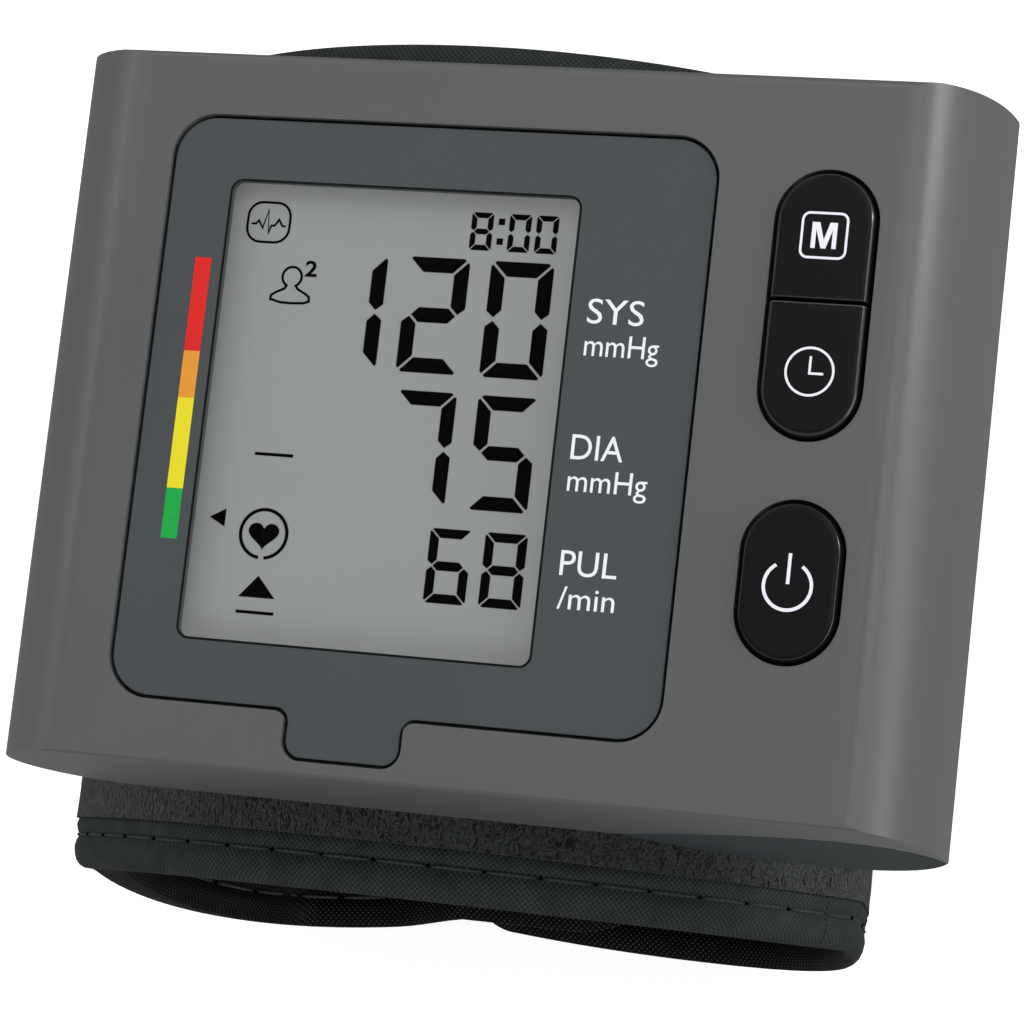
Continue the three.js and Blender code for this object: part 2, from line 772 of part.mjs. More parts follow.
function makeAirSystem() {
  const pumpDepthFit = Math.min(pumpDepth, boardBottom - coverInside - 2 * seatGap);
  const motorEnd = motorStartY + motorLength;
  const headStart = motorEnd + seatGap;
  const headEnd = headStart + pumpHeadLength;
  const pumpNipple = headEnd + nippleLength;
  const valveEnd = valveStartY + valveLength;
  const valveNipple = valveEnd + nippleLength;
  const half = manifoldSide / 2;
  const motor = beam(flatSided(pumpX, pumpZ, pumpWidth, pumpDepthFit), motorStartY, motorEnd);
  addPart('pump_motor', motor, 'steel');
  const head = block(
    pumpX - pumpWidth / 2, headStart, pumpZ - pumpDepthFit / 2,
    pumpX + pumpWidth / 2, headEnd, pumpZ + pumpDepthFit / 2,
  );
  const outlet = rod(pumpX, pumpZ, nippleRadius, headEnd - wall, pumpNipple, 12);
  addPart('pump_head', head.add(outlet), 'moulding');
  const valve = rod(valveX, pumpZ, valveRadius, valveStartY, valveEnd);
  const inlet = rod(valveX, pumpZ, nippleRadius, valveEnd - wall, valveNipple, 12);
  addPart('release_valve', valve.add(inlet), 'steel');
  const portZ = boardBottom - 3 * seatGap - hoseRadius;
  const manifold = block(
    loopCentreX - half, manifoldY - half, pumpZ - half / 2,
    loopCentreX + half, manifoldY + half, portZ + hoseRadius,
  );
  addPart('air_manifold', manifold, 'moulding');
  const sensorLeft = sensorX - sensorSide / 2;
  const sensor = block(
    sensorLeft, manifoldY - sensorSide / 2, boardBottom - seatGap - sensorHeight,
    sensorX + sensorSide / 2, manifoldY + sensorSide / 2, boardBottom - seatGap,
  );
  const port = new THREE.CylinderGeometry(nippleRadius, nippleRadius, nippleLength, 12);
  port.rotateZ(Math.PI / 2);
  port.translate(sensorLeft, manifoldY, portZ);
  const portEnd = sensorLeft - nippleLength / 2;
  addPart('pressure_sensor', sensor.add(toSolid(port)), 'moulding');
  const buzzerTop = boardBottom - seatGap;
  const buzzer = post(buzzerX, buzzerY, buzzerRadius, buzzerTop - buzzerHeight, buzzerTop);
  addPart('buzzer', buzzer, 'moulding');
  const left = loopCentreX - half - seatGap;
  const low = manifoldY - half - seatGap;
  const rightSide = loopCentreX + half + seatGap;
  const routes = {
    pump_hose: [
      [pumpX, pumpNipple + seatGap, pumpZ],
      [pumpX, pumpNipple + nippleLength, pumpZ],
      [left - nippleLength, manifoldY, pumpZ],
      [left, manifoldY, pumpZ],
    ],
    valve_hose: [
      [valveX, valveNipple + seatGap, pumpZ],
      [valveX, valveNipple + nippleLength, pumpZ],
      [loopCentreX, low - nippleLength, pumpZ],
      [loopCentreX, low, pumpZ],
    ],
    sensor_hose: [
      [portEnd - seatGap, manifoldY, portZ],
      [(portEnd + rightSide) / 2, manifoldY, portZ],
      [rightSide, manifoldY, portZ],
    ],
  };
  for (const [name, points] of Object.entries(routes)) {
    const route = new THREE.CatmullRomCurve3(points.map((p) => new THREE.Vector3(...p)));
    addPart(name, tubeAlong(route, hoseRadius, curveSteps, 8), 'hose');
  }
}

// The outside of the cuff as one closed loop in X and Z: it starts at the widest
// point on the right and runs over the top, down the left side and along the foot.
const sideShift = loopHalfWidth - sideRadius;
const nearHalfAngle = Math.asin(sideShift / (nearRadius - sideRadius));
const nearCentreDepth = -loopTopDepth - nearRadius;
const widestZ = nearCentreDepth + (nearRadius - sideRadius) * Math.cos(nearHalfAngle);
const footZ = widestZ - lowerHeight;
const lowerReach = loopHalfWidth - footHalfLength;

function ellipsePart(x, z, reachX, reachZ, from, to) {
  return new THREE.EllipseCurve(loopCentreX + x, z, reachX, reachZ, from, to, false, 0);
}

const loop = new THREE.CurvePath();
const quarter = Math.PI / 2;
loop.add(ellipsePart(sideShift, widestZ, sideRadius, sideRadius, 0, quarter - nearHalfAngle));
loop.add(ellipsePart(
  0, nearCentreDepth, nearRadius, nearRadius, quarter - nearHalfAngle, quarter + nearHalfAngle,
));
loop.add(ellipsePart(-sideShift, widestZ, sideRadius, sideRadius, quarter + nearHalfAngle, 2 * quarter));
loop.add(ellipsePart(-footHalfLength, widestZ, lowerReach, lowerHeight, 2 * quarter, 3 * quarter));
loop.add(new THREE.LineCurve(
  new THREE.Vector2(loopCentreX - footHalfLength, footZ),
  new THREE.Vector2(loopCentreX + footHalfLength, footZ),
));
loop.add(ellipsePart(footHalfLength, widestZ, lowerReach, lowerHeight, 3 * quarter, 4 * quarter));
const loopLengths = loop.getCurveLengths();
const loopLength = loopLengths[loopLengths.length - 1];
const footStart = loopLengths[3];

// Distance along the loop of a place on the foot.
function footDistance(x) {
  return footStart + x - (loopCentreX - footHalfLength);
}

function smoothRise(value, from, to) {
  const share = Math.min(Math.max((value - from) / (to - from), 0), 1);
  return share * share * (3 - 2 * share);
}

// A swelling that rises from 0 to 1 and falls back to 0 between two distances.
function lobe(distance, from, to, power) {
  const share = Math.min(Math.max((distance - from) / (to - from), 0), 1);
  return Math.max(Math.sin(Math.PI * share), 0) ** power;
}

// Half the width of the cuff's main part, whose left wing swells past its width
// under the housing.
function cuffHalf(distance) {
  const wingStart = loopLengths[2];
  const cusp = footDistance(flapEndX);
  const swell = wingBulge * lobe(distance, wingStart, cusp, wingBulgePower);
  return cuffHalfWidth + swell + cuspBulge * smoothRise(distance, wingStart, cusp);
}

// Half the width of the flap, before its end is rounded.
function flapHalf(distance) {
  const cusp = footDistance(flapEndX);
  const swell = flapBulge * lobe(distance, cusp, loopLength, flapBulgePower);
  return cuffHalfWidth + swell + cuspBulge * (1 - smoothRise(distance, cusp, loopLength));
}

// Where the left wing climbs over the end of the flap.
const flapThickness = pileThickness + liningThickness + hookPatchThickness + 3 * seatGap;
function wingLift(distance) {
  const top = footDistance(flapEndX) - 2 * seatGap;
  return (flapThickness + seatGap) * smoothRise(distance, top - wingRampLength, top);
}

// One layer of the cuff between two distances along the loop. The outer and inner
// functions give its depth below the outside of the loop, and half its half width.
// The pinch draws its two edges in towards each other.
function cuffLayer({ from, to, outer, inner, low, high, pinch = 0, stepLength = layerStep }) {
  const steps = Math.max(4, Math.round((to - from) / stepLength));
  const across = [0, edgeShare, 1 - edgeShare, 1];
  const columns = across.length;
  const positions = [];
  for (const isInner of [false, true]) {
    for (let i = 0; i <= steps; i += 1) {
      const distance = from + ((to - from) * i) / steps;
      const at = loop.getPointAt(Math.min(distance / loopLength, 1));
      const along = loop.getTangentAt(Math.min(distance / loopLength, 1));
      for (const share of across) {
        const edge = share === 0 || share === 1 ? pinch : 0;
        const depth = isInner ? inner(distance) - edge : outer(distance) + edge;
        const y = cuffMiddleY + low(distance) + share * (high(distance) - low(distance));
        positions.push(at.x - along.y * depth, y, at.y + along.x * depth);
      }
    }
  }
  const innerStart = (steps + 1) * columns;
  const indices = [];
  const quad = (a, b, c, d) => indices.push(a, b, c, a, c, d);
  for (let i = 0; i < steps; i += 1) {
    for (let j = 0; j < columns - 1; j += 1) {
      const a = i * columns + j;
      const b = a + columns;
      quad(a, a + 1, b + 1, b);
      quad(innerStart + a, innerStart + b, innerStart + b + 1, innerStart + a + 1);
    }
    const first = i * columns;
    const last = first + columns - 1;
    quad(first, first + columns, innerStart + first + columns, innerStart + first);
    quad(last, innerStart + last, innerStart + last + columns, last + columns);
  }
  for (let j = 0; j < columns - 1; j += 1) {
    const end = steps * columns + j;
    quad(j, innerStart + j, innerStart + j + 1, j + 1);
    quad(end, end + 1, innerStart + end + 1, innerStart + end);
  }
  const geometry = new THREE.BufferGeometry();
  geometry.setAttribute('position', new THREE.BufferAttribute(new Float32Array(positions), 3));
  geometry.setIndex(indices);
  return toSolid(geometry);
}

function makeCuff() {
  const stiffenerDepth = pileThickness + seatGap;
  const bladderDepth = stiffenerDepth + stiffenerThickness + seatGap;
  const liningDeep = bladderDepth + bladderThickness + seatGap;
  const wingEnd = footDistance(wingEndX);
  const bladderEnd = footStart - bladderMargin;
  const start = flapHingeGap / 2;
  const inside = (distance) => cuffHalf(distance) - bindingWidth - seatGap;
  const wingTaper = bladderEnd + bladderMargin;
  const fullShare = (distance) => smoothRise(distance, start, hingeTaper)
    - smoothRise(distance, bladderEnd, wingTaper);
  const liningDepth = (distance) => wingLift(distance) + stiffenerDepth
    + (liningDeep - stiffenerDepth) * fullShare(distance);
  const faces = { low: (d) => -inside(d), high: inside };
  const topHole = (radius, y) => post(loopCentreX, y, radius, -loopTopDepth - loopHalfWidth, 0, 16);
  let pile = cuffLayer({
    from: start, to: wingEnd, outer: wingLift, inner: (d) => wingLift(d) + pileThickness, ...faces,
  });
  let stiffener = cuffLayer({
    from: hingeTaper + stiffenerMargin,
    to: loopLengths[2] + stiffenerMargin,
    outer: () => stiffenerDepth,
    inner: () => stiffenerDepth + stiffenerThickness,
    low: (d) => stiffenerMargin - inside(d),
    high: (d) => inside(d) - stiffenerMargin,
  });
  let bladder = cuffLayer({
    from: hingeTaper + layerStep,
    to: bladderEnd - layerStep,
    outer: () => bladderDepth,
    inner: () => bladderDepth + bladderThickness,
    low: (d) => bladderMargin - inside(d),
    high: (d) => inside(d) - bladderMargin,
  });
  const lining = cuffLayer({
    from: start,
    to: wingEnd,
    outer: liningDepth,
    inner: (d) => liningDepth(d) + liningThickness,
    ...faces,
  });
  const nozzleHole = topHole(nozzleRadius + seatGap, manifoldY);
  pile = pile.subtract(nozzleHole);
  stiffener = stiffener.subtract(nozzleHole);
  const bladderHoleShift = loopHalfWidth - bladderDepth - bladderThickness / 2;
  bladder = bladder.subtract(nozzleHole.translate(0, 0, bladderHoleShift));
  for (const y of rivetY) {
    const hole = topHole(rivetRadius + seatGap, y);
    pile = pile.subtract(hole);
    stiffener = stiffener.subtract(hole);
  }
  addPart('cuff_pile', pile, 'pile');
  addPart('cuff_stiffener', stiffener, 'sheet');
  addPart('cuff_bladder', bladder, 'bladder');
  addPart('cuff_lining', lining, 'lining');
  const rim = {
    from: start,
    to: wingEnd,
    outer: (d) => wingLift(d) + edgeDrop,
    inner: (d) => liningDepth(d) + liningThickness - edgeDrop / 2,
    pinch: bindingPinch / 2,
  };
  const lower = cuffLayer({ ...rim, low: (d) => -cuffHalf(d), high: (d) => bindingWidth - cuffHalf(d) });
  const upper = cuffLayer({ ...rim, low: (d) => cuffHalf(d) - bindingWidth, high: cuffHalf });
  addPart('cuff_binding_lower', lower, 'binding');
  addPart('cuff_binding_upper', upper, 'binding');
}

function makeFlap() {
  const from = footDistance(flapEndX);
  const to = loopLength - flapHingeGap / 2;
  const liningDepth = pileThickness + seatGap;
  const backDepth = liningDepth + liningThickness;
  const patchStart = from + hookPatchInset;
  // The loose end is round: its half width falls off as a circle near the end.
  const endCut = (distance, end) => {
    const short = Math.max(0, flapEndRound - (distance - end));
    return flapEndRound - Math.sqrt(Math.max(0, flapEndRound ** 2 - short ** 2));
  };
  const half = (distance) => flapHalf(distance) - endCut(distance, from);
  const faceStart = from + bindingWidth + seatGap;
  const faceHalf = (distance) => flapHalf(distance) - bindingWidth - seatGap
    - endCut(distance, faceStart);
  const faces = { low: (d) => -faceHalf(d), high: faceHalf };
  const stepLength = flapStep;
  addPart('flap_pile', cuffLayer({
    from: faceStart, to, outer: () => 0, inner: () => pileThickness, ...faces, stepLength,
  }), 'pile');
  addPart('flap_lining', cuffLayer({
    from: faceStart, to, outer: () => liningDepth, inner: () => backDepth, ...faces, stepLength,
  }), 'lining');
  const holeHalf = (distance) => flapHalf(distance) - bindingWidth
    - endCut(distance, from + bindingWidth);
  const rim = cuffLayer({
    from, to, outer: () => edgeDrop / 2, inner: () => backDepth - edgeDrop / 4,
    low: (d) => -half(d), high: half, stepLength,
  });
  const hole = cuffLayer({
    from: from + bindingWidth,
    to: loopLength,
    outer: () => -backDepth,
    inner: () => 2 * backDepth,
    low: (d) => -holeHalf(d),
    high: holeHalf,
    stepLength,
  });
  addPart('flap_binding', rim.subtract(hole), 'binding');
  addPart('hook_patch', cuffLayer({
    from: patchStart,
    to: patchStart + hookPatchLength,
    outer: () => backDepth + seatGap,
    inner: () => backDepth + seatGap + hookPatchThickness,
    low: () => -hookPatchHalfHeight,
    high: () => hookPatchHalfHeight,
  }), 'moulding');
}

// What holds the cuff to the rear cover: two rivets, and the air nozzle.
function makeCuffFixings() {
  const stiffenerBack = -loopTopDepth - pileThickness - seatGap - stiffenerThickness;
  const headTop = coverInside + seatGap + rivetHeadHeight;
  const shankBottom = stiffenerBack;
  for (const [index, y] of rivetY.entries()) {
    const head = post(loopCentreX, y, rivetHeadRadius, coverInside + seatGap, headTop);
    const shank = post(loopCentreX, y, rivetRadius, shankBottom, headTop, 16);
    addPart(`cuff_rivet_${index + 1}`, head.add(shank), 'steel');
  }
  const manifoldBottom = pumpZ - manifoldSide / 4;
  const flangeTop = coverInside + seatGap + nozzleFlangeThickness;
  const tube = post(loopCentreX, manifoldY, nozzleRadius, stiffenerBack, manifoldBottom - seatGap, 16);
  const flange = post(loopCentreX, manifoldY, nozzleFlangeRadius, coverInside + seatGap, flangeTop);
  addPart('cuff_nozzle', tube.add(flange), 'moulding');
}

addPart('front_shell', makeFrontShell(), 'shell');
makeDisplay();
makeButtons();
makeBoard();
makeRearCover();
makeBatteryDoor();
makeBatteries();
makeScrews();
makeAirSystem();
makeCuff();
makeFlap();
makeCuffFixings();

const leftmost = Math.min(noseCentreX - noseReach, loopCentreX - loopHalfWidth);
const rightmost = Math.max(tipX, loopCentreX + loopHalfWidth);
device.position.set(-(leftmost + rightmost) / 2, -cuffMiddleY, -footZ);

const monitor = new THREE.Group();
monitor.add(device);

export default monitor;
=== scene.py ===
"""Looks of a wrist blood pressure monitor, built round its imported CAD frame.

Lengths in the dataclasses are millimetres in the device frame: zero on the flat front
face, +X to the right of the display, +Y to its top and +Z out of the face.
"""

import logging
import math
from bisect import bisect_right
from dataclasses import dataclass
from enum import Enum
from typing import Callable, Sequence

import bpy
from mathutils import Matrix, Vector


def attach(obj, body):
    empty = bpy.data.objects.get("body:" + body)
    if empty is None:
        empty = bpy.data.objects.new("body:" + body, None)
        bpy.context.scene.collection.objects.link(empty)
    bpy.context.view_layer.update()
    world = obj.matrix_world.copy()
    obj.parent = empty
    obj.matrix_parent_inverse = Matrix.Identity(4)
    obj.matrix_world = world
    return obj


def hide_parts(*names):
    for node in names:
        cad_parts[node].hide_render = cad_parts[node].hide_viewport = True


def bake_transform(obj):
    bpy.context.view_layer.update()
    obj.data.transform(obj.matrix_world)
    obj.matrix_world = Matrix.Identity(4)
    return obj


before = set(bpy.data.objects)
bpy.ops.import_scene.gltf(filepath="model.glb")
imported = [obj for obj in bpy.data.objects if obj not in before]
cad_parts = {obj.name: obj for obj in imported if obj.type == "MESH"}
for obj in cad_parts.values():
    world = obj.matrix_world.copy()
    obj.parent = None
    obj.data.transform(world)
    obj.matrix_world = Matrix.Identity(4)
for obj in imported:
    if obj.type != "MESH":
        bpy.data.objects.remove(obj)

log = logging.getLogger("monitor")

MM = 0.001
# Where the device frame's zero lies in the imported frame.
FACE_ORIGIN = (7.35066, 0.7, 76.26235)
# Points of a CAD mesh or of the cuff's path that are closer than this are one point.
MERGE = 0.002
# In degrees: facets that turn by less than the first are one plane, and edges that turn by more than
# the second are eased. Edges that turn by less than the others are shaded smooth.
FLAT_ANGLE = 0.5
SHARP_ANGLE = 40.0
SMOOTH_ANGLE = 30.0
CLOTH_ANGLE = 60.0
TAPE_ANGLE = 50.0
# Height of a capital in Blender's own font, as a share of its size.
FONT_CAPITAL = 0.729

Piece = bpy.types.Object
Tree = bpy.types.NodeTree
Node = bpy.types.Node
Socket = bpy.types.NodeSocket
Point = tuple[float, float]
Triple = tuple[float, float, float]
# Places along an edge of the cuff, as distance and Y, and the directions into the cuff there.
Edge = tuple[list[Point], list[Point]]
# A value at a distance along the cuff's loop.
Along = Callable[[float], float]
# Place and UV of a point of a cloth, from its two shares.
Surface = Callable[[float, float], tuple[Vector, Point]]
Key = str | int
Settings = dict[Key, object]
Links = dict[Key, Socket]


class Body(str, Enum):
    """The bodies of the frame that a piece can ride on."""

    HOUSING = "housing"
    MEMORY_KEY = "memory_key"
    TIME_KEY = "time_key"
    POWER_KEY = "power_key"
    DOOR = "door"
    FLAP = "flap"


class Side(Enum):
    """The two long edges of the cuff."""

    LOWER = -1
    UPPER = 1


def at(x: float, y: float, z: float) -> Vector:
    """Returns the place in the shared frame, in metres, of a point in the device frame."""
    return Vector((x + FACE_ORIGIN[0], y + FACE_ORIGIN[1], z + FACE_ORIGIN[2])) * MM


def smooth_rise(value: float, low: float, high: float) -> float:
    """Returns 0 below low and 1 above high, with a smooth rise between them."""
    share = min(max((value - low) / (high - low), 0.0), 1.0)
    return share * share * (3 - 2 * share)


def linear(hex_colour: str) -> tuple[float, float, float, float]:
    """Turns an sRGB hex colour to a linear one.

    Args:
        hex_colour: A hash sign and six hex digits.

    Returns:
        Linear red, green and blue, and an alpha of one.
    """
    channels = [int(hex_colour[i:i + 2], 16) / 255 for i in (1, 3, 5)]
    red, green, blue = (
        c / 12.92 if c <= 0.04045 else ((c + 0.055) / 1.055) ** 2.4 for c in channels
    )
    return red, green, blue, 1.0


def add_node(tree: Tree, kind: str, settings: Settings | None = None, links: Links | None = None) -> Node:
    """Adds one shader node.

    Args:
        tree: The node tree that it goes into.
        kind: The node's type name.
        settings: Values by input name or number, or by property name where no input has it.
        links: The output sockets that feed its inputs, by input name or number.

    Returns:
        The new node.
    """
    node = tree.nodes.new(kind)
    for key, value in (settings or {}).items():
        if isinstance(key, int) or key in node.inputs:
            node.inputs[key].default_value = value
        else:
            setattr(node, key, value)
    for key, socket in (links or {}).items():
        tree.links.new(socket, node.inputs[key])
    return node


def select_only(obj: Piece) -> None:
    """Makes an object the active one and the only one selected.

    Args:
        obj: The object.
    """
    for other in bpy.context.selected_objects:
        other.select_set(False)
    obj.select_set(True)
    bpy.context.view_layer.objects.active = obj


def edit_all(obj: Piece) -> None:
    """Enters edit mode on one object with all of its mesh selected.

    Args:
        obj: The object.
    """
    select_only(obj)
    bpy.ops.object.mode_set(mode="EDIT")
    bpy.ops.mesh.select_all(action="SELECT")


def leave_edit() -> None:
    """Goes back to object mode."""
    bpy.ops.object.mode_set(mode="OBJECT")


def face_outwards() -> None:
    """Turns all faces of the mesh in edit mode outwards."""
    bpy.ops.mesh.select_all(action="SELECT")
    bpy.ops.mesh.normals_make_consistent(inside=False)


def raise_face(height: float) -> None:
    """Extrudes the face that is selected in edit mode to a solid, and leaves edit mode.

    Args:
        height: Its height in millimetres.
    """
    bpy.ops.mesh.extrude_region_move(TRANSFORM_OT_translate={"value": (0, 0, height * MM)})
    face_outwards()
    leave_edit()


def seal(obj: Piece, merge: float) -> None:
    """Joins the edges of a folded sheet and closes its open ends.

    Args:
        obj: The sheet.
        merge: Distance within which its points are joined.
    """
    edit_all(obj)
    bpy.ops.mesh.remove_doubles(threshold=merge * MM)
    bpy.ops.mesh.select_all(action="DESELECT")
    bpy.ops.mesh.select_non_manifold(extend=False)
    bpy.ops.mesh.edge_face_add()
    face_outwards()
    leave_edit()


def apply_modifier(obj: Piece, kind: str, **settings: object) -> None:
    """Adds a modifier to an object and applies it.

    Args:
        obj: The object.
        kind: The modifier's type name.
        settings: The modifier's properties.
    """
    select_only(obj)
    modifier = obj.modifiers.new(kind.lower(), kind)
    for name, value in settings.items():
        setattr(modifier, name, value)
    bpy.ops.object.modifier_apply(modifier=modifier.name)


def smooth_by_angle(obj: Piece, degrees: float) -> None:
    """Shades an object smooth across edges that turn by less than an angle."""
    select_only(obj)
    bpy.ops.object.shade_smooth_by_angle(angle=math.radians(degrees))


@dataclass(frozen=True)
class Finish:
    """A surface finish that has one node material.

    Attributes:
        name: The real material, which names the node material.
        colour: Main colour.
        shade: Second colour: painted shade where a cloth or the hook tape lies deeper, and elsewhere a
            colour that varies.
        roughness: Roughness of the surface.
    """

    name: str
    colour: str
    shade: str
    roughness: float

    def material(self) -> bpy.types.Material:
        """Makes the finish's material on its first use.

        Returns:
            The material.
        """
        found = bpy.data.materials.get(self.name)
        if found is not None:
            return found
        material = bpy.data.materials.new(self.name)
        material.use_nodes = True
        shader = material.node_tree.nodes["Principled BSDF"]
        shader.inputs["Roughness"].default_value = self.roughness
        self.dress(material.node_tree, shader)
        return material

    def dress(self, tree: Tree, shader: Node) -> None:
        """Adds the finish's own nodes to its shader."""
        raise NotImplementedError

    def tint(self, tree: Tree, shader: Node, share: Socket) -> None:
        """Colours the shader from shade to colour.

        Args:
            tree: The material's node tree.
            shader: Its shader.
            share: Share of the colour, from 0 to 1.
        """
        mix = add_node(
            tree,
            "ShaderNodeMix",
            {"data_type": "RGBA", 6: linear(self.shade), 7: linear(self.colour)},
            {0: share},
        )
        tree.links.new(mix.outputs[2], shader.inputs["Base Color"])

    def relief(self, tree: Tree, shader: Node, height: Socket, depth: float) -> None:
        """Bumps the shader.

        Args:
            tree: The material's node tree.
            shader: Its shader.
            height: Height from 0 to 1.
            depth: What that stands for, in millimetres.
        """
        bump = add_node(
            tree, "ShaderNodeBump", {"Strength": 1.0, "Distance": depth * MM}, {"Height": height}
        )
        tree.links.new(bump.outputs["Normal"], shader.inputs["Normal"])

    def paint(self, obj: Piece) -> None:
        """Makes this the only material of an object."""
        obj.data.materials.clear()
        obj.data.materials.append(self.material())


@dataclass(frozen=True)
class MouldedPlastic(Finish):
    """Moulded plastic: faint clouds in the colour, and a fine grain from the mould that spreads the gloss.

    Attributes:
        grain: Width of the grain, drawn at about twice its real size so that it shows.
        grain_depth: Height of the grain.
        cloud: Width of the faint clouds in the colour.
        specular: Strength of the reflection.
        alpha: Opacity, below one on a clear pane.
    """

    grain: float = 0.3
    grain_depth: float = 0.02
    cloud: float = 14.0
    specular: float = 0.5
    alpha: float = 1.0

    def dress(self, tree: Tree, shader: Node) -> None:
        """Clouds the colour and grains the surface.

        Args:
            tree: The material's node tree.
            shader: Its shader.
        """
        place = add_node(tree, "ShaderNodeTexCoord").outputs["Object"]
        cloud = add_node(
            tree, "ShaderNodeTexNoise", {"Scale": 1 / (self.cloud * MM), "Detail": 3.0}, {"Vector": place}
        )
        self.tint(tree, shader, cloud.outputs[0])
        grain = add_node(
            tree, "ShaderNodeTexNoise", {"Scale": 1 / (self.grain * MM), "Detail": 2.0}, {"Vector": place}
        )
        self.relief(tree, shader, grain.outputs[0], self.grain_depth)
        shader.inputs["Specular IOR Level"].default_value = self.specular
        shader.inputs["Alpha"].default_value = self.alpha


@dataclass(frozen=True)
class LitPlastic(MouldedPlastic):
    """Plastic that gives off light of its own: the opal top of a light table, or the display, whose glow is
    painted light.

    Attributes:
        glow: Strength of the light that it gives off, in the plastic's own colour.
    """

    glow: float = 0.5

    def dress(self, tree: Tree, shader: Node) -> None:
        """Adds the glow to the plain plastic.

        Args:
            tree: The material's node tree.
            shader: Its shader.
        """
        super().dress(tree, shader)
        shader.inputs["Emission Color"].default_value = linear(self.colour)
        shader.inputs["Emission Strength"].default_value = self.glow


@dataclass(frozen=True)
class PlatedMetal(Finish):
    """Nickel-plated or drawn steel: bright, with fine lines from drawing and stamping.

    Attributes:
        line: Spacing of the drawn lines.
        line_depth: Depth of the lines.
        squeeze: Scale of the noise along the lines, as a share of that across them.
        metallic: One on bare metal, less under a printed wrap.
    """

    line: float = 0.25
    line_depth: float = 0.01
    squeeze: float = 0.03
    metallic: float = 1.0

    def dress(self, tree: Tree, shader: Node) -> None:
        """Draws fine lines along Y in the colour and the surface.

        Args:
            tree: The material's node tree.
            shader: Its shader.
        """
        place = add_node(tree, "ShaderNodeTexCoord").outputs["Object"]
        along = add_node(tree, "ShaderNodeMapping", {"Scale": (1.0, self.squeeze, 1.0)}, {"Vector": place})
        lines = add_node(
            tree,
            "ShaderNodeTexNoise",
            {"Scale": 1 / (self.line * MM), "Detail": 2.0},
            {"Vector": along.outputs["Vector"]},
        )
        self.tint(tree, shader, lines.outputs[0])
        self.relief(tree, shader, lines.outputs[0], self.line_depth)
        shader.inputs["Metallic"].default_value = self.metallic


@dataclass(frozen=True)
class Ink(Finish):
    """Pad-printed ink or a driven display segment: flat colour with a faint screen grain.

    Attributes:
        specular: Strength of the reflection.
        speck: Width of the specks in the colour.
    """

    specular: float = 0.1
    speck: float = 0.4

    def dress(self, tree: Tree, shader: Node) -> None:
        """Mottles the colour very finely.

        Args:
            tree: The material's node tree.
            shader: Its shader.
        """
        place = add_node(tree, "ShaderNodeTexCoord").outputs["Object"]
        grain = add_node(
            tree, "ShaderNodeTexNoise", {"Scale": 1 / (self.speck * MM), "Detail": 1.0}, {"Vector": place}
        )
        self.tint(tree, shader, grain.outputs[0])
        shader.inputs["Specular IOR Level"].default_value = self.specular


@dataclass(frozen=True)
class LoopPile(Finish):
    """Brushed nylon loop pile: matt curly fibres, with the hollows between them painted dark as shade.

    Attributes:
        curl: Spacing of the fibres.
        lean: How much longer than wide a curl is across the cuff.
        depth: Height of the fibres.
        hollow: Value of the noise in the hollows.
        crest: Value of the noise on the fibres' crests.
        specular: Strength of the reflection.
        sheen: Strength of the soft light on the fibres' ends.
    """

    curl: float = 0.5
    lean: float = 1.8
    depth: float = 0.3
    hollow: float = 0.25
    crest: float = 1.5
    specular: float = 0.15
    sheen: float = 0.12

    def dress(self, tree: Tree, shader: Node) -> None:
        """Makes the fibres from the crests of a bent noise.

        Args:
            tree: The material's node tree.
            shader: Its shader.
        """
        place = add_node(tree, "ShaderNodeTexCoord").outputs["UV"]
        long = add_node(
            tree, "ShaderNodeMapping", {"Scale": (1.0, 1 / self.lean, 1.0)}, {"Vector": place}
        )
        fibres = add_node(
            tree,
            "ShaderNodeTexNoise",
            {
                "noise_type": "RIDGED_MULTIFRACTAL", "Scale": 1 / (self.curl * MM), "Detail": 2.0,
                "Roughness": 0.7, "Lacunarity": 2.1, "Offset": 0.9, "Gain": 1.5, "Distortion": 1.3,
            },
            {"Vector": long.outputs["Vector"]},
        )
        height = add_node(
            tree,
            "ShaderNodeMapRange",
            {"From Min": self.hollow, "From Max": self.crest},
            {"Value": fibres.outputs[0]},
        )
        # Darker where the noise is low: painted shade in the hollows between the fibres.
        self.tint(tree, shader, height.outputs[0])
        self.relief(tree, shader, height.outputs[0], self.depth)
        shader.inputs["Specular IOR Level"].default_value = self.specular
        shader.inputs["Sheen Weight"].default_value = self.sheen
        shader.inputs["Sheen Roughness"].default_value = 0.6


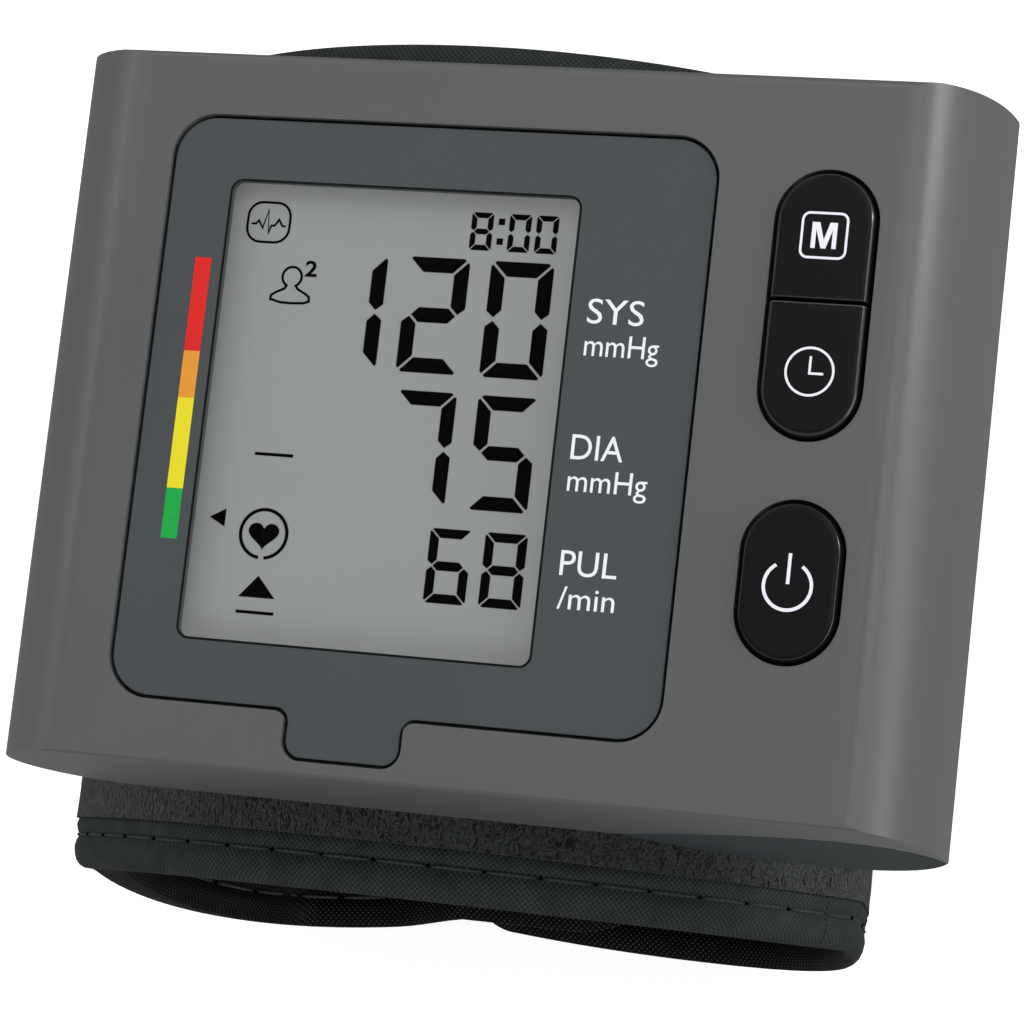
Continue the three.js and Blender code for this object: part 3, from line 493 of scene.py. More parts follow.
@dataclass(frozen=True)
class WovenNylon(Finish):
    """Plain-woven nylon: crossing threads that stand up where they pass over each other, with painted shade
    between their crowns.

    Attributes:
        thread: Spacing of the threads.
        turn: Angle of the threads to the length of the piece, in degrees.
        depth: Height of a thread's crown.
        dark: Share of the weave that lies in the shade between the crowns.
        specular: Strength of the reflection.
        patch: Width of the patches where the threads are more or less worn.
        contrast: How strongly the crowns stand out in these patches.
    """

    thread: float = 0.26
    turn: float = 0.0
    depth: float = 0.06
    dark: float = 0.0
    specular: float = 0.3
    patch: float = 2.5
    contrast: float = 1.8

    def dress(self, tree: Tree, shader: Node) -> None:
        """Makes the weave as the product of two waves, broken by a fine noise.

        Args:
            tree: The material's node tree.
            shader: Its shader.
        """
        place = add_node(tree, "ShaderNodeTexCoord").outputs["UV"]
        turned = add_node(
            tree,
            "ShaderNodeMapping",
            {"Rotation": (0.0, 0.0, math.radians(self.turn)), "Scale": (math.pi / (self.thread * MM),) * 3},
            {"Vector": place},
        )
        axes = add_node(tree, "ShaderNodeSeparateXYZ", links={"Vector": turned.outputs["Vector"]})
        warp = add_node(tree, "ShaderNodeMath", {"operation": "SINE"}, {0: axes.outputs["X"]})
        weft = add_node(tree, "ShaderNodeMath", {"operation": "SINE"}, {0: axes.outputs["Y"]})
        weave = add_node(
            tree, "ShaderNodeMath", {"operation": "MULTIPLY"}, {0: warp.outputs[0], 1: weft.outputs[0]}
        )
        crown = add_node(
            tree,
            "ShaderNodeMapRange",
            {"From Min": 2 * self.dark - 1, "From Max": 1.0},
            {"Value": weave.outputs[0]},
        )
        fuzz = add_node(
            tree, "ShaderNodeTexNoise", {"Scale": 1 / (self.patch * MM), "Detail": 4.0}, {"Vector": place}
        )
        worn = add_node(
            tree,
            "ShaderNodeMath",
            {"operation": "MULTIPLY", "use_clamp": True},
            {0: crown.outputs[0], 1: fuzz.outputs[0]},
        )
        full = add_node(
            tree,
            "ShaderNodeMath",
            {"operation": "MULTIPLY", "use_clamp": True, 1: self.contrast},
            {0: worn.outputs[0]},
        )
        # Darker between the crowns, which is painted shade, and varied by the worn patches.
        self.tint(tree, shader, full.outputs[0])
        self.relief(tree, shader, crown.outputs[0], self.depth)
        shader.inputs["Specular IOR Level"].default_value = self.specular


@dataclass(frozen=True)
class HookTape(Finish):
    """Moulded hook tape: rows of tiny stems on a smooth backing, painted darker between the stems as shade.

    Attributes:
        pitch: Spacing of the stems.
        tip: Radius of a stem's flat tip, as a share of the pitch.
        foot: Radius of its foot, as a share of the pitch.
        depth: Height of a stem.
    """

    pitch: float = 1.2
    tip: float = 0.15
    foot: float = 0.4
    depth: float = 0.5

    def dress(self, tree: Tree, shader: Node) -> None:
        """Puts a round stem in each cell of a regular grid.

        Args:
            tree: The material's node tree.
            shader: Its shader.
        """
        place = add_node(tree, "ShaderNodeTexCoord").outputs["Object"]
        stems = add_node(
            tree,
            "ShaderNodeTexVoronoi",
            {"Scale": 1 / (self.pitch * MM), "Randomness": 0.0},
            {"Vector": place},
        )
        height = add_node(
            tree,
            "ShaderNodeMapRange",
            {"From Min": self.tip, "From Max": self.foot, "To Min": 1.0, "To Max": 0.0},
            {"Value": stems.outputs["Distance"]},
        )
        # Darker away from each stem: painted shade on the backing.
        self.tint(tree, shader, height.outputs[0])
        self.relief(tree, shader, height.outputs[0], self.depth)


# ABS from a spark-eroded mould: an even mid grey that spreads the gloss to a soft band.
SHELL = MouldedPlastic(
    "grained_grey_abs", "#58595b", "#545557", 0.37, grain=0.22, grain_depth=0.006, specular=0.4
)
# ABS with a coarser grain: a darker, cooler grey with hardly any gloss.
PANEL = MouldedPlastic("matt_dark_grey_abs", "#3f4446", "#3a3f41", 0.55, grain=0.35, grain_depth=0.03)
# Fine matt ABS: a green-grey that stays dark under the shell.
DOOR = MouldedPlastic("matt_grey_green_abs", "#31383a", "#2d3436", 0.6, grain_depth=0.01, specular=0.2)
# Satin ABS: black faces with a faint even sheen.
KEY = MouldedPlastic(
    "satin_black_abs", "#0e0e10", "#0b0b0d", 0.4, grain=0.2, grain_depth=0.006, specular=0.14
)
# Black ABS on the keys' eased edges, glossier than their faces and painted lighter grey: a painted
# highlight, a thin light line round each key.
KEY_EDGE_HIGHLIGHT = MouldedPlastic("black_abs_painted_edge_highlight", "#2c2c2e", "#28282a", 0.22, grain_depth=0.002)
# Cast acrylic: clear, with a faint reflection.
PANE = MouldedPlastic("clear_acrylic", "#101212", "#0e1010", 0.06, grain_depth=0.001, alpha=0.03)
# Grey-green display that glows in its own colour: painted light that lifts the shade in its recess and makes
# it look even.
GLOWING_LCD = LitPlastic(
    "lcd_with_painted_glow", "#7c7f7d", "#797c7a", 0.45, grain_depth=0.002, specular=0.2, glow=0.53
)
# Moulded polycarbonate: warm white and half matt.
WHITE_PLASTIC = MouldedPlastic("ivory_polycarbonate", "#d9d8d2", "#cfcec8", 0.5)
# Silicone with carbon in it: dull dark grey.
RUBBER = MouldedPlastic("conductive_silicone", "#3c3c3e", "#343436", 0.75, grain=0.5)
# Glass laminate under solder mask: half-glossy green with a faint mottle.
BOARD = MouldedPlastic("solder_masked_laminate", "#1f6b3a", "#195a31", 0.4, grain=1.2, cloud=4.0)
# Moulded nylon: near-black and half matt.
DARK_PLASTIC = MouldedPlastic("black_nylon", "#26282a", "#1f2123", 0.55)
# Extruded silicone: milky white and smooth.
SILICONE = MouldedPlastic("silicone_tube", "#d5d6d1", "#cccdc8", 0.35, grain=0.6)
# Welded film: smooth mid grey with shallow ripples.
FILM = MouldedPlastic("pvc_film", "#7d807e", "#747775", 0.4, grain=1.5, grain_depth=0.05)
# Die-cut sheet: pale and slightly waxy.
SHEET = MouldedPlastic("polypropylene_sheet", "#dcdcd8", "#d2d2ce", 0.45)
# Plated and drawn steel: bright, with fine lines.
STEEL = PlatedMetal("nickel_plated_steel", "#c2c4c6", "#a9abad", 0.32)
# Steel can under a printed wrap: a duller metal.
CELL = PlatedMetal("printed_steel_cell", "#8d9094", "#777a7e", 0.35, metallic=0.6)
# Pad print: flat cool white.
LABEL_INK = Ink("white_pad_print", "#ebebf4", "#e5e5ee", 0.5)
# Driven segments: flat black that reflects nothing.
SEGMENT_INK = Ink("black_lcd_segment", "#040304", "#060506", 0.7, specular=0.01)
# Screen print round the window: a thin black line.
RIM_INK = Ink("black_window_border", "#0c0d0d", "#141515", 0.4)
# Brushed nylon loops: curly green-grey fibres, with the hollows between them painted black as shade.
PILE = LoopPile("nylon_loop_pile", "#3e4443", "#090b0b", 0.95)
# Plain-woven tape: a fine check of dark green-grey.
TAPE = WovenNylon("woven_nylon_tape", "#373c3c", "#141717", 0.75, specular=0.2)
# Coated oxford cloth: black, with the crowns of its threads as grey dots.
LINING = WovenNylon(
    "black_nylon_oxford", "#424343", "#020202", 0.45, thread=0.29, depth=0.1, dark=0.55, specular=0.2
)
# The lining cloth on the tape's inner face and fold, made blacker with smaller dots: painted shade inside
# the loop.
FOLD_SHADE = WovenNylon(
    "black_nylon_painted_shade", "#464747", "#020202", 0.6, thread=0.29, depth=0.1, dark=0.66, specular=0.1
)
# Twisted sewing thread: a dark line with a faint slant.
THREAD = WovenNylon(
    "twisted_polyester_thread", "#3e4444", "#1c2020", 0.7, thread=0.2, turn=35.0, depth=0.03
)
# Shade in a needle hole: black.
HOLE = WovenNylon("needle_hole_shade", "#060707", "#020202", 0.9, specular=0.05)
# Moulded hooks: dark dots in rows, with the backing between them painted darker still as shade.
HOOKS = HookTape("moulded_hook_tape", "#2a2c2d", "#141516", 0.5)
# The lit top of the studio table: white with faint shadows.
OPAL = LitPlastic("opal_acrylic", "#e8e8e8", "#e4e4e4", 0.9, cloud=300.0, specular=0.1, glow=0.74)


def dress_node(node: str, finish: Finish) -> None:
    """Gives a CAD node that stays in view a finish."""
    finish.paint(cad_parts[node])
    log.info("dressed %s in %s", node, finish.name)


def settle(obj: Piece, body: Body, slot: str, *nodes: str) -> None:
    """Lets a finished piece ride on a body and stand for CAD nodes.

    Args:
        obj: The piece, with its place in its mesh.
        body: The body that it rides on.
        slot: The record's material slot; not used.
        nodes: The CAD nodes that it stands for.
    """
    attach(obj, body.value)
    if nodes:
        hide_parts(*nodes)
    log.info("%s: %d faces on %s", obj.name, len(obj.data.polygons), body.value)


def eased_copy(node: str, name: str, edge: float, finishes: tuple[Finish, ...]) -> Piece:
    """Copies a CAD node with its facets merged, its sharp edges eased and its curves smooth.

    Args:
        node: The CAD node.
        name: Name of the new piece.
        edge: Width of the bevel on the sharp edges.
        finishes: Finish of the piece, and of its eased edges where they have their own.

    Returns:
        The new piece.
    """
    obj = bpy.data.objects.new(name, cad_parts[node].data.copy())
    bpy.context.scene.collection.objects.link(obj)
    edit_all(obj)
    bpy.ops.mesh.customdata_custom_splitnormals_clear()
    bpy.ops.mesh.remove_doubles(threshold=MERGE * MM)
    bpy.ops.mesh.dissolve_limited(angle_limit=math.radians(FLAT_ANGLE))
    leave_edit()
    finishes[0].paint(obj)
    for finish in finishes[1:]:
        obj.data.materials.append(finish.material())
    apply_modifier(
        obj, "BEVEL", width=edge * MM, segments=2, limit_method="ANGLE",
        angle_limit=math.radians(SHARP_ANGLE), material=len(finishes) - 1,
    )
    smooth_by_angle(obj, SMOOTH_ANGLE)
    apply_modifier(obj, "WEIGHTED_NORMAL", weight=100, keep_sharp=True)
    return obj


def plate(name: str, outline: Sequence[Point], low: float, high: float) -> Piece:
    """Makes a flat plate of an outline, drawn as a many-sided disc and raised.

    Args:
        name: Name of the new piece.
        outline: Corners in X and Y, counter-clockwise.
        low: Z of its back.
        high: Z of its front.

    Returns:
        The new piece.
    """
    bpy.ops.mesh.primitive_circle_add(vertices=len(outline), radius=MM, fill_type="NGON")
    obj = bpy.context.object
    obj.name = obj.data.name = name
    for vertex, (x, y) in zip(obj.data.vertices, outline):
        vertex.co = at(x, y, low)
    edit_all(obj)
    raise_face(high - low)
    return obj


def stroke(name: str, line: Sequence[Point], width: float, low: float, high: float, closed: bool) -> Piece:
    """Makes a raised line of one width, from a one-row grid that follows its points.

    Args:
        name: Name of the new piece.
        line: Points in X and Y along its middle.
        width: Width of the line.
        low: Z of its back.
        high: Z of its front.
        closed: Whether its end joins its start.

    Returns:
        The new piece.
    """
    points = [Vector(p) for p in line]
    count = len(points)
    corners: list[Vector] = []
    for side in (-0.5, 0.5):
        for i, here in enumerate(points):
            before = points[i - 1] if closed or i > 0 else here
            after = points[(i + 1) % count] if closed or i < count - 1 else here
            first = (here - before).normalized() if here != before else (after - here).normalized()
            second = (after - here).normalized() if here != after else first
            along = (first + second).normalized()
            reach = width * side / max(along.dot(first), 0.5)
            corners.append(here + Vector((-along.y, along.x)) * reach)
    bpy.ops.mesh.primitive_grid_add(x_subdivisions=count - 1, y_subdivisions=1, size=MM)
    obj = bpy.context.object
    obj.name = obj.data.name = name
    for vertex, corner in zip(obj.data.vertices, corners):
        vertex.co = at(corner.x, corner.y, low)
    if closed:
        select_only(obj)
        ends = ({0, count}, {count - 1, 2 * count - 1})
        for element in (*obj.data.polygons, *obj.data.edges, *obj.data.vertices):
            element.select = False
        for edge in obj.data.edges:
            edge.select = set(edge.vertices) in ends
        for i in set.union(*ends):
            obj.data.vertices[i].select = True
        bpy.ops.object.mode_set(mode="EDIT")
        bpy.ops.mesh.bridge_edge_loops()
        leave_edit()
    edit_all(obj)
    face_outwards()
    raise_face(high - low)
    return obj


@dataclass(frozen=True)
class Word:
    """A word of raised letters that fill a width.

    Attributes:
        name: Name of its piece.
        text: Its letters.
        left: X of its left edge.
        base: Y of the line that it stands on.
        width: Its width.
        height: Height of a capital.
        weight: How much thicker than the font's own its strokes are, as a share of the font's size.
    """

    name: str
    text: str
    left: float
    base: float
    width: float
    height: float
    weight: float = 0.0

    def raised(self, low: float, high: float) -> Piece:
        """Makes the word.

        Args:
            low: Z of its back.
            high: Z of its front.

        Returns:
            The new piece.
        """
        bpy.ops.object.text_add()
        obj = bpy.context.object
        obj.data.body = self.text
        obj.data.resolution_u = 4
        obj.data.offset = self.weight
        obj.data.extrude = 0.5
        select_only(obj)
        bpy.ops.object.convert(target="MESH")
        obj = bpy.context.object
        obj.name = obj.data.name = self.name
        first = min(v.co.x for v in obj.data.vertices)
        span = max(v.co.x for v in obj.data.vertices) - first
        for vertex in obj.data.vertices:
            x = self.left + (vertex.co.x - first) / span * self.width
            y = self.base + vertex.co.y / FONT_CAPITAL * self.height
            z = low + (vertex.co.z + 0.5) * (high - low)
            vertex.co = at(x, y, z)
        return obj


def joined(name: str, objs: list[Piece]) -> Piece:
    """Joins pieces into one object with one mesh.

    Args:
        name: Name of the whole.
        objs: The pieces.

    Returns:
        The whole.
    """
    select_only(objs[0])
    for obj in objs[1:]:
        obj.select_set(True)
    bpy.ops.object.join()
    objs[0].name = objs[0].data.name = name
    return objs[0]


def arc(x: float, y: float, radius: float, start: float, end: float, steps: int) -> list[Point]:
    """Returns points on an arc from one angle to another, in degrees."""
    angles = [math.radians(start + (end - start) * i / steps) for i in range(steps + 1)]
    return [(x + radius * math.cos(a), y + radius * math.sin(a)) for a in angles]


def box(left: float, low: float, right: float, high: float) -> list[Point]:
    """Returns the corners of a rectangle, counter-clockwise."""
    return [(left, low), (right, low), (right, high), (left, high)]


def rounded_box(left: float, low: float, right: float, high: float, corner: float) -> list[Point]:
    """Draws a rectangle with round corners.

    Args:
        left: X of its left side.
        low: Y of its lower side.
        right: X of its right side.
        high: Y of its upper side.
        corner: Radius of its corners.

    Returns:
        Its outline, counter-clockwise.
    """
    return [
        *arc(right - corner, low + corner, corner, -90, 0, 6),
        *arc(right - corner, high - corner, corner, 0, 90, 6),
        *arc(left + corner, high - corner, corner, 90, 180, 6),
        *arc(left + corner, low + corner, corner, 180, 270, 6),
    ]


@dataclass
class Housing:
    """The moulded housing: shell, rear cover, battery door and what they hold.

    Attributes:
        shell_edge: Bevel on the shell's edges.
        cover_edge: Bevel on the rear cover's edges.
        door_edge: Bevel on the battery door's edges.
        panel_edge: Bevel on the display panel's edges.
    """

    shell_edge: float = 0.08
    cover_edge: float = 0.15
    door_edge: float = 0.2
    panel_edge: float = 0.1

    def build(self) -> None:
        """Eases the mouldings and dresses the inner nodes."""
        rows = (
            ("front_shell", "front_shell_moulding", self.shell_edge, SHELL, Body.HOUSING, "shell"),
            ("rear_cover", "rear_cover_moulding", self.cover_edge, PANEL, Body.HOUSING, "panel"),
            ("battery_door", "battery_door_moulding", self.door_edge, DOOR, Body.DOOR, "door"),
            ("display_panel", "display_panel_moulding", self.panel_edge, PANEL, Body.HOUSING, "panel"),
        )
        for node, name, edge, finish, body, slot in rows:
            settle(eased_copy(node, name, edge, (finish,)), body, slot, node)
        self.dress_inside()

    def dress_inside(self) -> None:
        """Dresses the CAD nodes that the housing encloses."""
        finishes: dict[Finish, tuple[str, ...]] = {
            PANE: ("display_window",),
            # The display glass glows: painted light.
            GLOWING_LCD: ("lcd_glass",),
            WHITE_PLASTIC: ("lcd_frame",),
            RUBBER: (
                "lcd_contact_strip", "memory_switch_plunger", "time_switch_plunger", "power_switch_plunger",
            ),
            BOARD: ("main_board",),
            STEEL: (
                "battery_spring_1", "battery_spring_2", "contact_positive_1", "contact_positive_2",
                "contact_negative_1", "contact_negative_2", "case_screw_1", "case_screw_2", "case_screw_3",
                "case_screw_4", "pump_motor", "release_valve", "cuff_rivet_1", "cuff_rivet_2",
            ),
            CELL: ("cell_1", "cell_2"),
            DARK_PLASTIC: (
                "memory_switch", "time_switch", "power_switch", "pump_head", "air_manifold",
                "pressure_sensor", "buzzer", "cuff_nozzle",
            ),
            SILICONE: ("pump_hose", "valve_hose", "sensor_hose"),
            SHEET: ("cuff_stiffener",),
            HOOKS: ("hook_patch",),
        }
        for finish, nodes in finishes.items():
            for node in nodes:
                dress_node(node, finish)


@dataclass
class Keys:
    """The three press keys and the signs printed on them.

    Attributes:
        edge: Bevel on the keys' edges.
        face: Z of the keys' faces.
        ink: How far the print stands out of the face, and reaches into it.
        line: Width of the signs' lines.
        memory_at: Middle of the sign on the memory key.
        time_at: Middle of the clock sign.
        power_at: Middle of the power sign.
        sign_radius: Radius of the round signs, at the middle of their lines.
        square_half: Half the width of the square round the letter M.
        square_round: Radius of its corners.
        letter_half: Corners of the letter's left half, from its middle.
        letter_dip: Y of the place between its slanting strokes.
        hands: Points along the clock's hands, from its middle.
        ring_points: Number of points on the clock's ring.
        power_bar: Y of the ends of the power sign's bar, from its middle.
        power_gap: Half the angle of the gap in its ring, in degrees.
        power_weight: How much wider than the others its lines are.
    """

    edge: float = 0.15
    face: float = 0.6
    ink: float = 0.02
    line: float = 0.2
    memory_at: Point = (25.26, 17.07)
    time_at: Point = (25.2, 5.85)
    power_at: Point = (25.2, -11.6)
    sign_radius: float = 1.95
    square_half: float = 1.85
    square_round: float = 0.6
    letter_half: tuple[Point, ...] = (
        (-0.42, 1.08), (-1.04, 1.08), (-1.04, -1.08), (-0.68, -1.08), (-0.68, 0.5), (-0.2, -1.08),
    )
    letter_dip: float = -0.35
    hands: tuple[Point, ...] = ((0.0, 1.25), (0.0, -0.15), (1.15, -0.15))
    ring_points: int = 48
    power_bar: Point = (2.65, 0.15)
    power_gap: float = 33.0
    power_weight: float = 1.4

    def build(self) -> None:
        """Makes the keys and their signs."""
        for key, body in (
            ("memory_button", Body.MEMORY_KEY),
            ("time_button", Body.TIME_KEY),
            ("power_button", Body.POWER_KEY),
        ):
            # The keys' eased edges take the lighter edge finish, a painted highlight.
            settle(eased_copy(key, f"{key}_cap", self.edge, (KEY, KEY_EDGE_HIGHLIGHT)), body, "button", key)
        for sign, body in (
            (self.memory_sign(), Body.MEMORY_KEY),
            (self.clock_sign(), Body.TIME_KEY),
            (self.power_sign(), Body.POWER_KEY),
        ):
            LABEL_INK.paint(sign)
            settle(sign, body, "button")

    def heights(self) -> tuple[float, float]:
        """Returns the Z of the back and front of the print."""
        return self.face - self.ink, self.face + self.ink

    def memory_sign(self) -> Piece:
        """Makes a letter M in a rounded square.

        Returns:
            The sign.
        """
        x, y = self.memory_at
        half = self.square_half
        square = rounded_box(x - half, y - half, x + half, y + half, self.square_round)
        frame_line = stroke("memory_square", square, self.line, *self.heights(), closed=True)
        left = self.letter_half
        outline = [*left, *((-p, q) for p, q in reversed(left)), (0.0, self.letter_dip)]
        letter = plate("memory_letter", [(x + p, y + q) for p, q in outline], *self.heights())
        return joined("memory_sign", [frame_line, letter])

    def clock_sign(self) -> Piece:
        """Makes a clock face with two hands.

        Returns:
            The sign.
        """
        x, y = self.time_at
        circle = arc(x, y, self.sign_radius, 0, 360 - 360 / self.ring_points, self.ring_points - 1)
        ring = stroke("clock_ring", circle, self.line, *self.heights(), closed=True)
        line = [(x + p, y + q) for p, q in self.hands]
        hands = stroke("clock_hands", line, self.line, *self.heights(), closed=False)
        return joined("clock_sign", [ring, hands])

    def power_sign(self) -> Piece:
        """Makes a broken circle with a bar in its gap.

        Returns:
            The sign.
        """
        x, y = self.power_at
        width = self.power_weight * self.line
        circle = arc(x, y, self.sign_radius, 90 + self.power_gap, 450 - self.power_gap, 40)
        ring = stroke("power_ring", circle, width, *self.heights(), closed=False)
        line = [(x, y + end) for end in self.power_bar]
        bar = stroke("power_bar", line, width, *self.heights(), closed=False)
        return joined("power_sign", [ring, bar])


@dataclass(frozen=True)
class DigitRow:
    """A row of seven-segment digits of one size.

    Attributes:
        digits: What each digit shows, with the X of its left edge.
        base: Y of their lower edges.
        width: Width of a digit.
        height: Its height.
        bar: Width of a segment.
        gap_share: Half the gap between segments, as a share of the bar.
        gap_least: What is added to that.
        cut_share: How far the outer corners are cut, as a share of the bar.
        slant_share: How far the posts' inner ends slant outside, as a share of the bar.
    """

    digits: tuple[tuple[int, float], ...]
    base: float
    width: float
    height: float
    bar: float
    gap_share: float = 0.11
    gap_least: float = 0.02
    cut_share: float = 0.24
    slant_share: float = 0.4

    LIT = ("abcdef", "bc", "abged", "abgcd", "fgbc", "afgcd", "afgedc", "abc", "abcdefg", "abcdfg")

    def outlines(self) -> list[list[Point]]:
        """Draws the lit segments of all digits.

        Returns:
            Their outlines.
        """
        bar, cut = self.bar, self.cut_share * self.bar
        gap = self.gap_share * bar + self.gap_least
        right, half = self.width, self.height / 2
        flat = [
            (cut + gap, 0.0), (right - cut - gap, 0.0), (right - cut / 2 - gap, cut / 2),
            (right - bar - gap, bar), (bar + gap, bar), (cut / 2 + gap, cut / 2),
        ]
        post = [
            (0.0, cut + gap), (cut / 2, cut / 2 + gap), (bar, bar + gap), (bar, half - bar / 2 - gap),
            (bar / 2, half - gap), (0.0, half - self.slant_share * bar - gap),
        ]
        middle = [
            (bar / 2 + gap, half), (bar + gap, half - bar / 2), (right - bar - gap, half - bar / 2),
            (right - bar / 2 - gap, half), (right - bar - gap, half + bar / 2), (bar + gap, half + bar / 2),
        ]
        shapes = {"a": flat, "d": flat, "g": middle}
        lit = [(left, segment) for number, left in self.digits for segment in self.LIT[number]]
        return [
            [
                (
                    left + (right - x if segment in "bc" else x),
                    self.base + (self.height - y if segment in "abf" else y),
                )
                for x, y in shapes.get(segment, post)
            ]
            for left, segment in lit
        ]


@dataclass(frozen=True)
class Band:
    """A band of the printed pressure scale.

    Attributes:
        name: Name of its piece.
        ink: Its finish.
        top: Y of its upper edge.
        low: Y of its lower edge.
    """

    name: str
    ink: Ink
    top: float
    low: float


@dataclass
class Display:
    """What the display shows, and the print round it.

    Attributes:
        glass: Z of the front of the liquid crystal display.
        segment: Thickness of a segment.
        panel: Z of the panel's front.
        ink: How far the print stands out of the panel, and reaches into it.
        time_row: The time of day.
        colon: Middles of its colon's dots.
        dot_half: Half the width of a dot.
        upper_row: The upper pressure.
        lower_row: The lower pressure.
        pulse_row: The pulse rate.
        hair: Width of the small signs' lines.
        beat_share: Width of the heartbeat's line, as a share of that.
        beat_box: Left, low, right and high edge of the square round the heartbeat.
        beat_round: Radius of its corners.
        beat: Points along the heartbeat.
        head_at: Middle of the user sign's head.
        head_radius: Its radius.
        head_gap: Half the angle of its open neck, in degrees.
        shoulders: Points from the left side of the neck round to the right.
        user_number: The user's number.
        heart_at: Middle of the heart.
        heart_half: Half its width and its height above the middle.
        ring_at: Middle of the ring round it.
        ring_radius: The ring's radius.
        ring_gap: Half the angle of the gap in it, in degrees.
        ring_line: Width of its line.
        arrows: Corners of the two arrows.
        bars: Ends of the two bars.
        bar_line: Width of a bar.
        words: The names and units beside the digits.
        scale_sides: X of the two sides of the pressure scale.
        scale: Its bands.
        border_box: Left, low, right and high edge of the line round the window.
        border_round: Radius of its corners.
        border_line: Its width.
    """

    glass: float = -2.3
    segment: float = 0.05
    panel: float = -0.3
    ink: float = 0.02
    time_row: DigitRow = DigitRow(((8, -5.36), (0, -2.05), (0, 0.32)), 14.87, 1.9, 3.23, 0.46)
    colon: tuple[Point, ...] = ((-2.73, 17.4), (-2.73, 15.7))
    dot_half: float = 0.27
    upper_row: DigitRow = DigitRow(((1, -17.75), (2, -10.52), (0, -3.2)), 4.15, 5.45, 9.88, 1.27)
    lower_row: DigitRow = DigitRow(((7, -10.15), (5, -3.0)), -7.05, 5.25, 9.65, 1.2)
    pulse_row: DigitRow = DigitRow(((6, -5.8), (8, -1.03)), -15.07, 3.62, 6.25, 0.78)
    hair: float = 0.2
    beat_share: float = 0.8
    beat_box: tuple[float, ...] = (-25.25, 14.55, -21.45, 18.0)
    beat_round: float = 1.25
    beat: tuple[Point, ...] = (
        (-24.9, 16.1), (-24.5, 16.1), (-24.25, 16.4), (-23.85, 15.75), (-23.45, 17.35), (-23.3, 15.3),
        (-23.1, 16.0), (-22.8, 16.0), (-22.45, 16.55), (-22.1, 16.0), (-21.8, 16.0),
    )
    head_at: Point = (-20.66, 11.66)
    head_radius: float = 0.86
    head_gap: float = 28.0
    shoulders: tuple[Point, ...] = (
        (-21.25, 10.6), (-21.9, 10.3), (-22.35, 10.0), (-22.4, 9.65), (-21.5, 9.42), (-20.5, 9.38),
        (-19.4, 9.44), (-18.92, 9.6), (-18.95, 10.0), (-19.4, 10.3), (-20.0, 10.6),
    )
    user_number: Word = Word("user_number", "2", -19.55, 11.8, 1.05, 1.38, weight=0.02)
    heart_at: Point = (-20.4, -10.5)
    heart_half: Point = (1.36, 1.26)
    ring_at: Point = (-20.4, -10.45)
    ring_radius: float = 2.06
    ring_gap: float = 7.0
    ring_line: float = 0.28
    arrows: tuple[tuple[Point, ...], ...] = (
        ((-25.37, -9.35), (-23.98, -10.1), (-23.98, -8.57)),
        ((-21.98, -15.88), (-18.74, -15.88), (-20.4, -14.03)),
    )
    bars: tuple[tuple[Point, ...], ...] = (
        ((-22.04, -3.68), (-18.63, -3.68)),
        ((-22.04, -17.15), (-18.69, -17.15)),
    )
    bar_line: float = 0.26
    words: tuple[Word, ...] = (
        Word("systolic_label", "SYS", 6.05, 8.87, 4.8, 2.2),
        Word("systolic_unit", "mmHg", 6.1, 6.15, 6.3, 1.95),
        Word("diastolic_label", "DIA", 5.95, -2.5, 4.4, 2.2),
        Word("diastolic_unit", "mmHg", 5.95, -5.15, 6.7, 1.95),
        Word("pulse_label", "PUL", 6.1, -12.1, 4.8, 2.2),
        Word("pulse_unit", "/min", 6.2, -14.85, 4.8, 1.95),
    )
    scale_sides: Point = (-28.8, -27.35)
    # Pad prints: flat bright bands.
    scale: tuple[Band, ...] = (
        Band("scale_red", Ink("red_pad_print", "#d92d2a", "#d02825", 0.5), 12.5, 4.4),
        Band("scale_orange", Ink("orange_pad_print", "#e2983b", "#d88e34", 0.5), 4.4, 0.36),
        Band("scale_yellow", Ink("yellow_pad_print", "#e6d92d", "#dccf28", 0.5), 0.36, -7.4),
        Band("scale_green", Ink("green_pad_print", "#24a74a", "#1e9a42", 0.5), -7.4, -11.7),
    )
    border_box: tuple[float, ...] = (-26.3, -19.9, 4.5, 19.4)
    border_round: float = 1.0
    border_line: float = 0.2

    def build(self) -> None:
        """Makes the digits, the signs and the print."""
        for name, parts in (
            ("time_digits", [*self.segments(self.time_row), *self.dots()]),
            ("pressure_digits", [*self.segments(self.upper_row), *self.segments(self.lower_row)]),
            ("pulse_digits", self.segments(self.pulse_row)),
            ("display_signs", self.signs()),
        ):
            piece = joined(name, parts)
            SEGMENT_INK.paint(piece)
            settle(piece, Body.HOUSING, "lcd")
        for word in self.words:
            self.print_piece(word.raised(*self.on_panel()), LABEL_INK)
        left, right = self.scale_sides
        for band in self.scale:
            outline = box(left, band.low, right, band.top)
            self.print_piece(plate(band.name, outline, *self.on_panel()), band.ink)
        outline = rounded_box(*self.border_box, self.border_round)
        border = stroke("window_border", outline, self.border_line, *self.on_panel(), closed=True)
        self.print_piece(border, RIM_INK)

    def on_glass(self) -> tuple[float, float]:
        """Returns the Z of the back and front of a segment."""
        return self.glass, self.glass + self.segment

    def on_panel(self) -> tuple[float, float]:
        """Returns the Z of the back and front of the print."""
        return self.panel - self.ink, self.panel + self.ink

    def print_piece(self, piece: Piece, ink: Ink) -> None:
        """Gives a print its ink and lets it ride on the housing."""
        ink.paint(piece)
        settle(piece, Body.HOUSING, "panel")

    def segments(self, row: DigitRow) -> list[Piece]:
        """Returns the lit segments of a row of digits, as plates on the glass."""
        return [plate("segment", outline, *self.on_glass()) for outline in row.outlines()]

    def dots(self) -> list[Piece]:
        """Makes the dots of the colon.

        Returns:
            The dots.
        """
        half = self.dot_half
        outlines = [box(x - half, y - half, x + half, y + half) for x, y in self.colon]
        return [plate("dot", outline, *self.on_glass()) for outline in outlines]

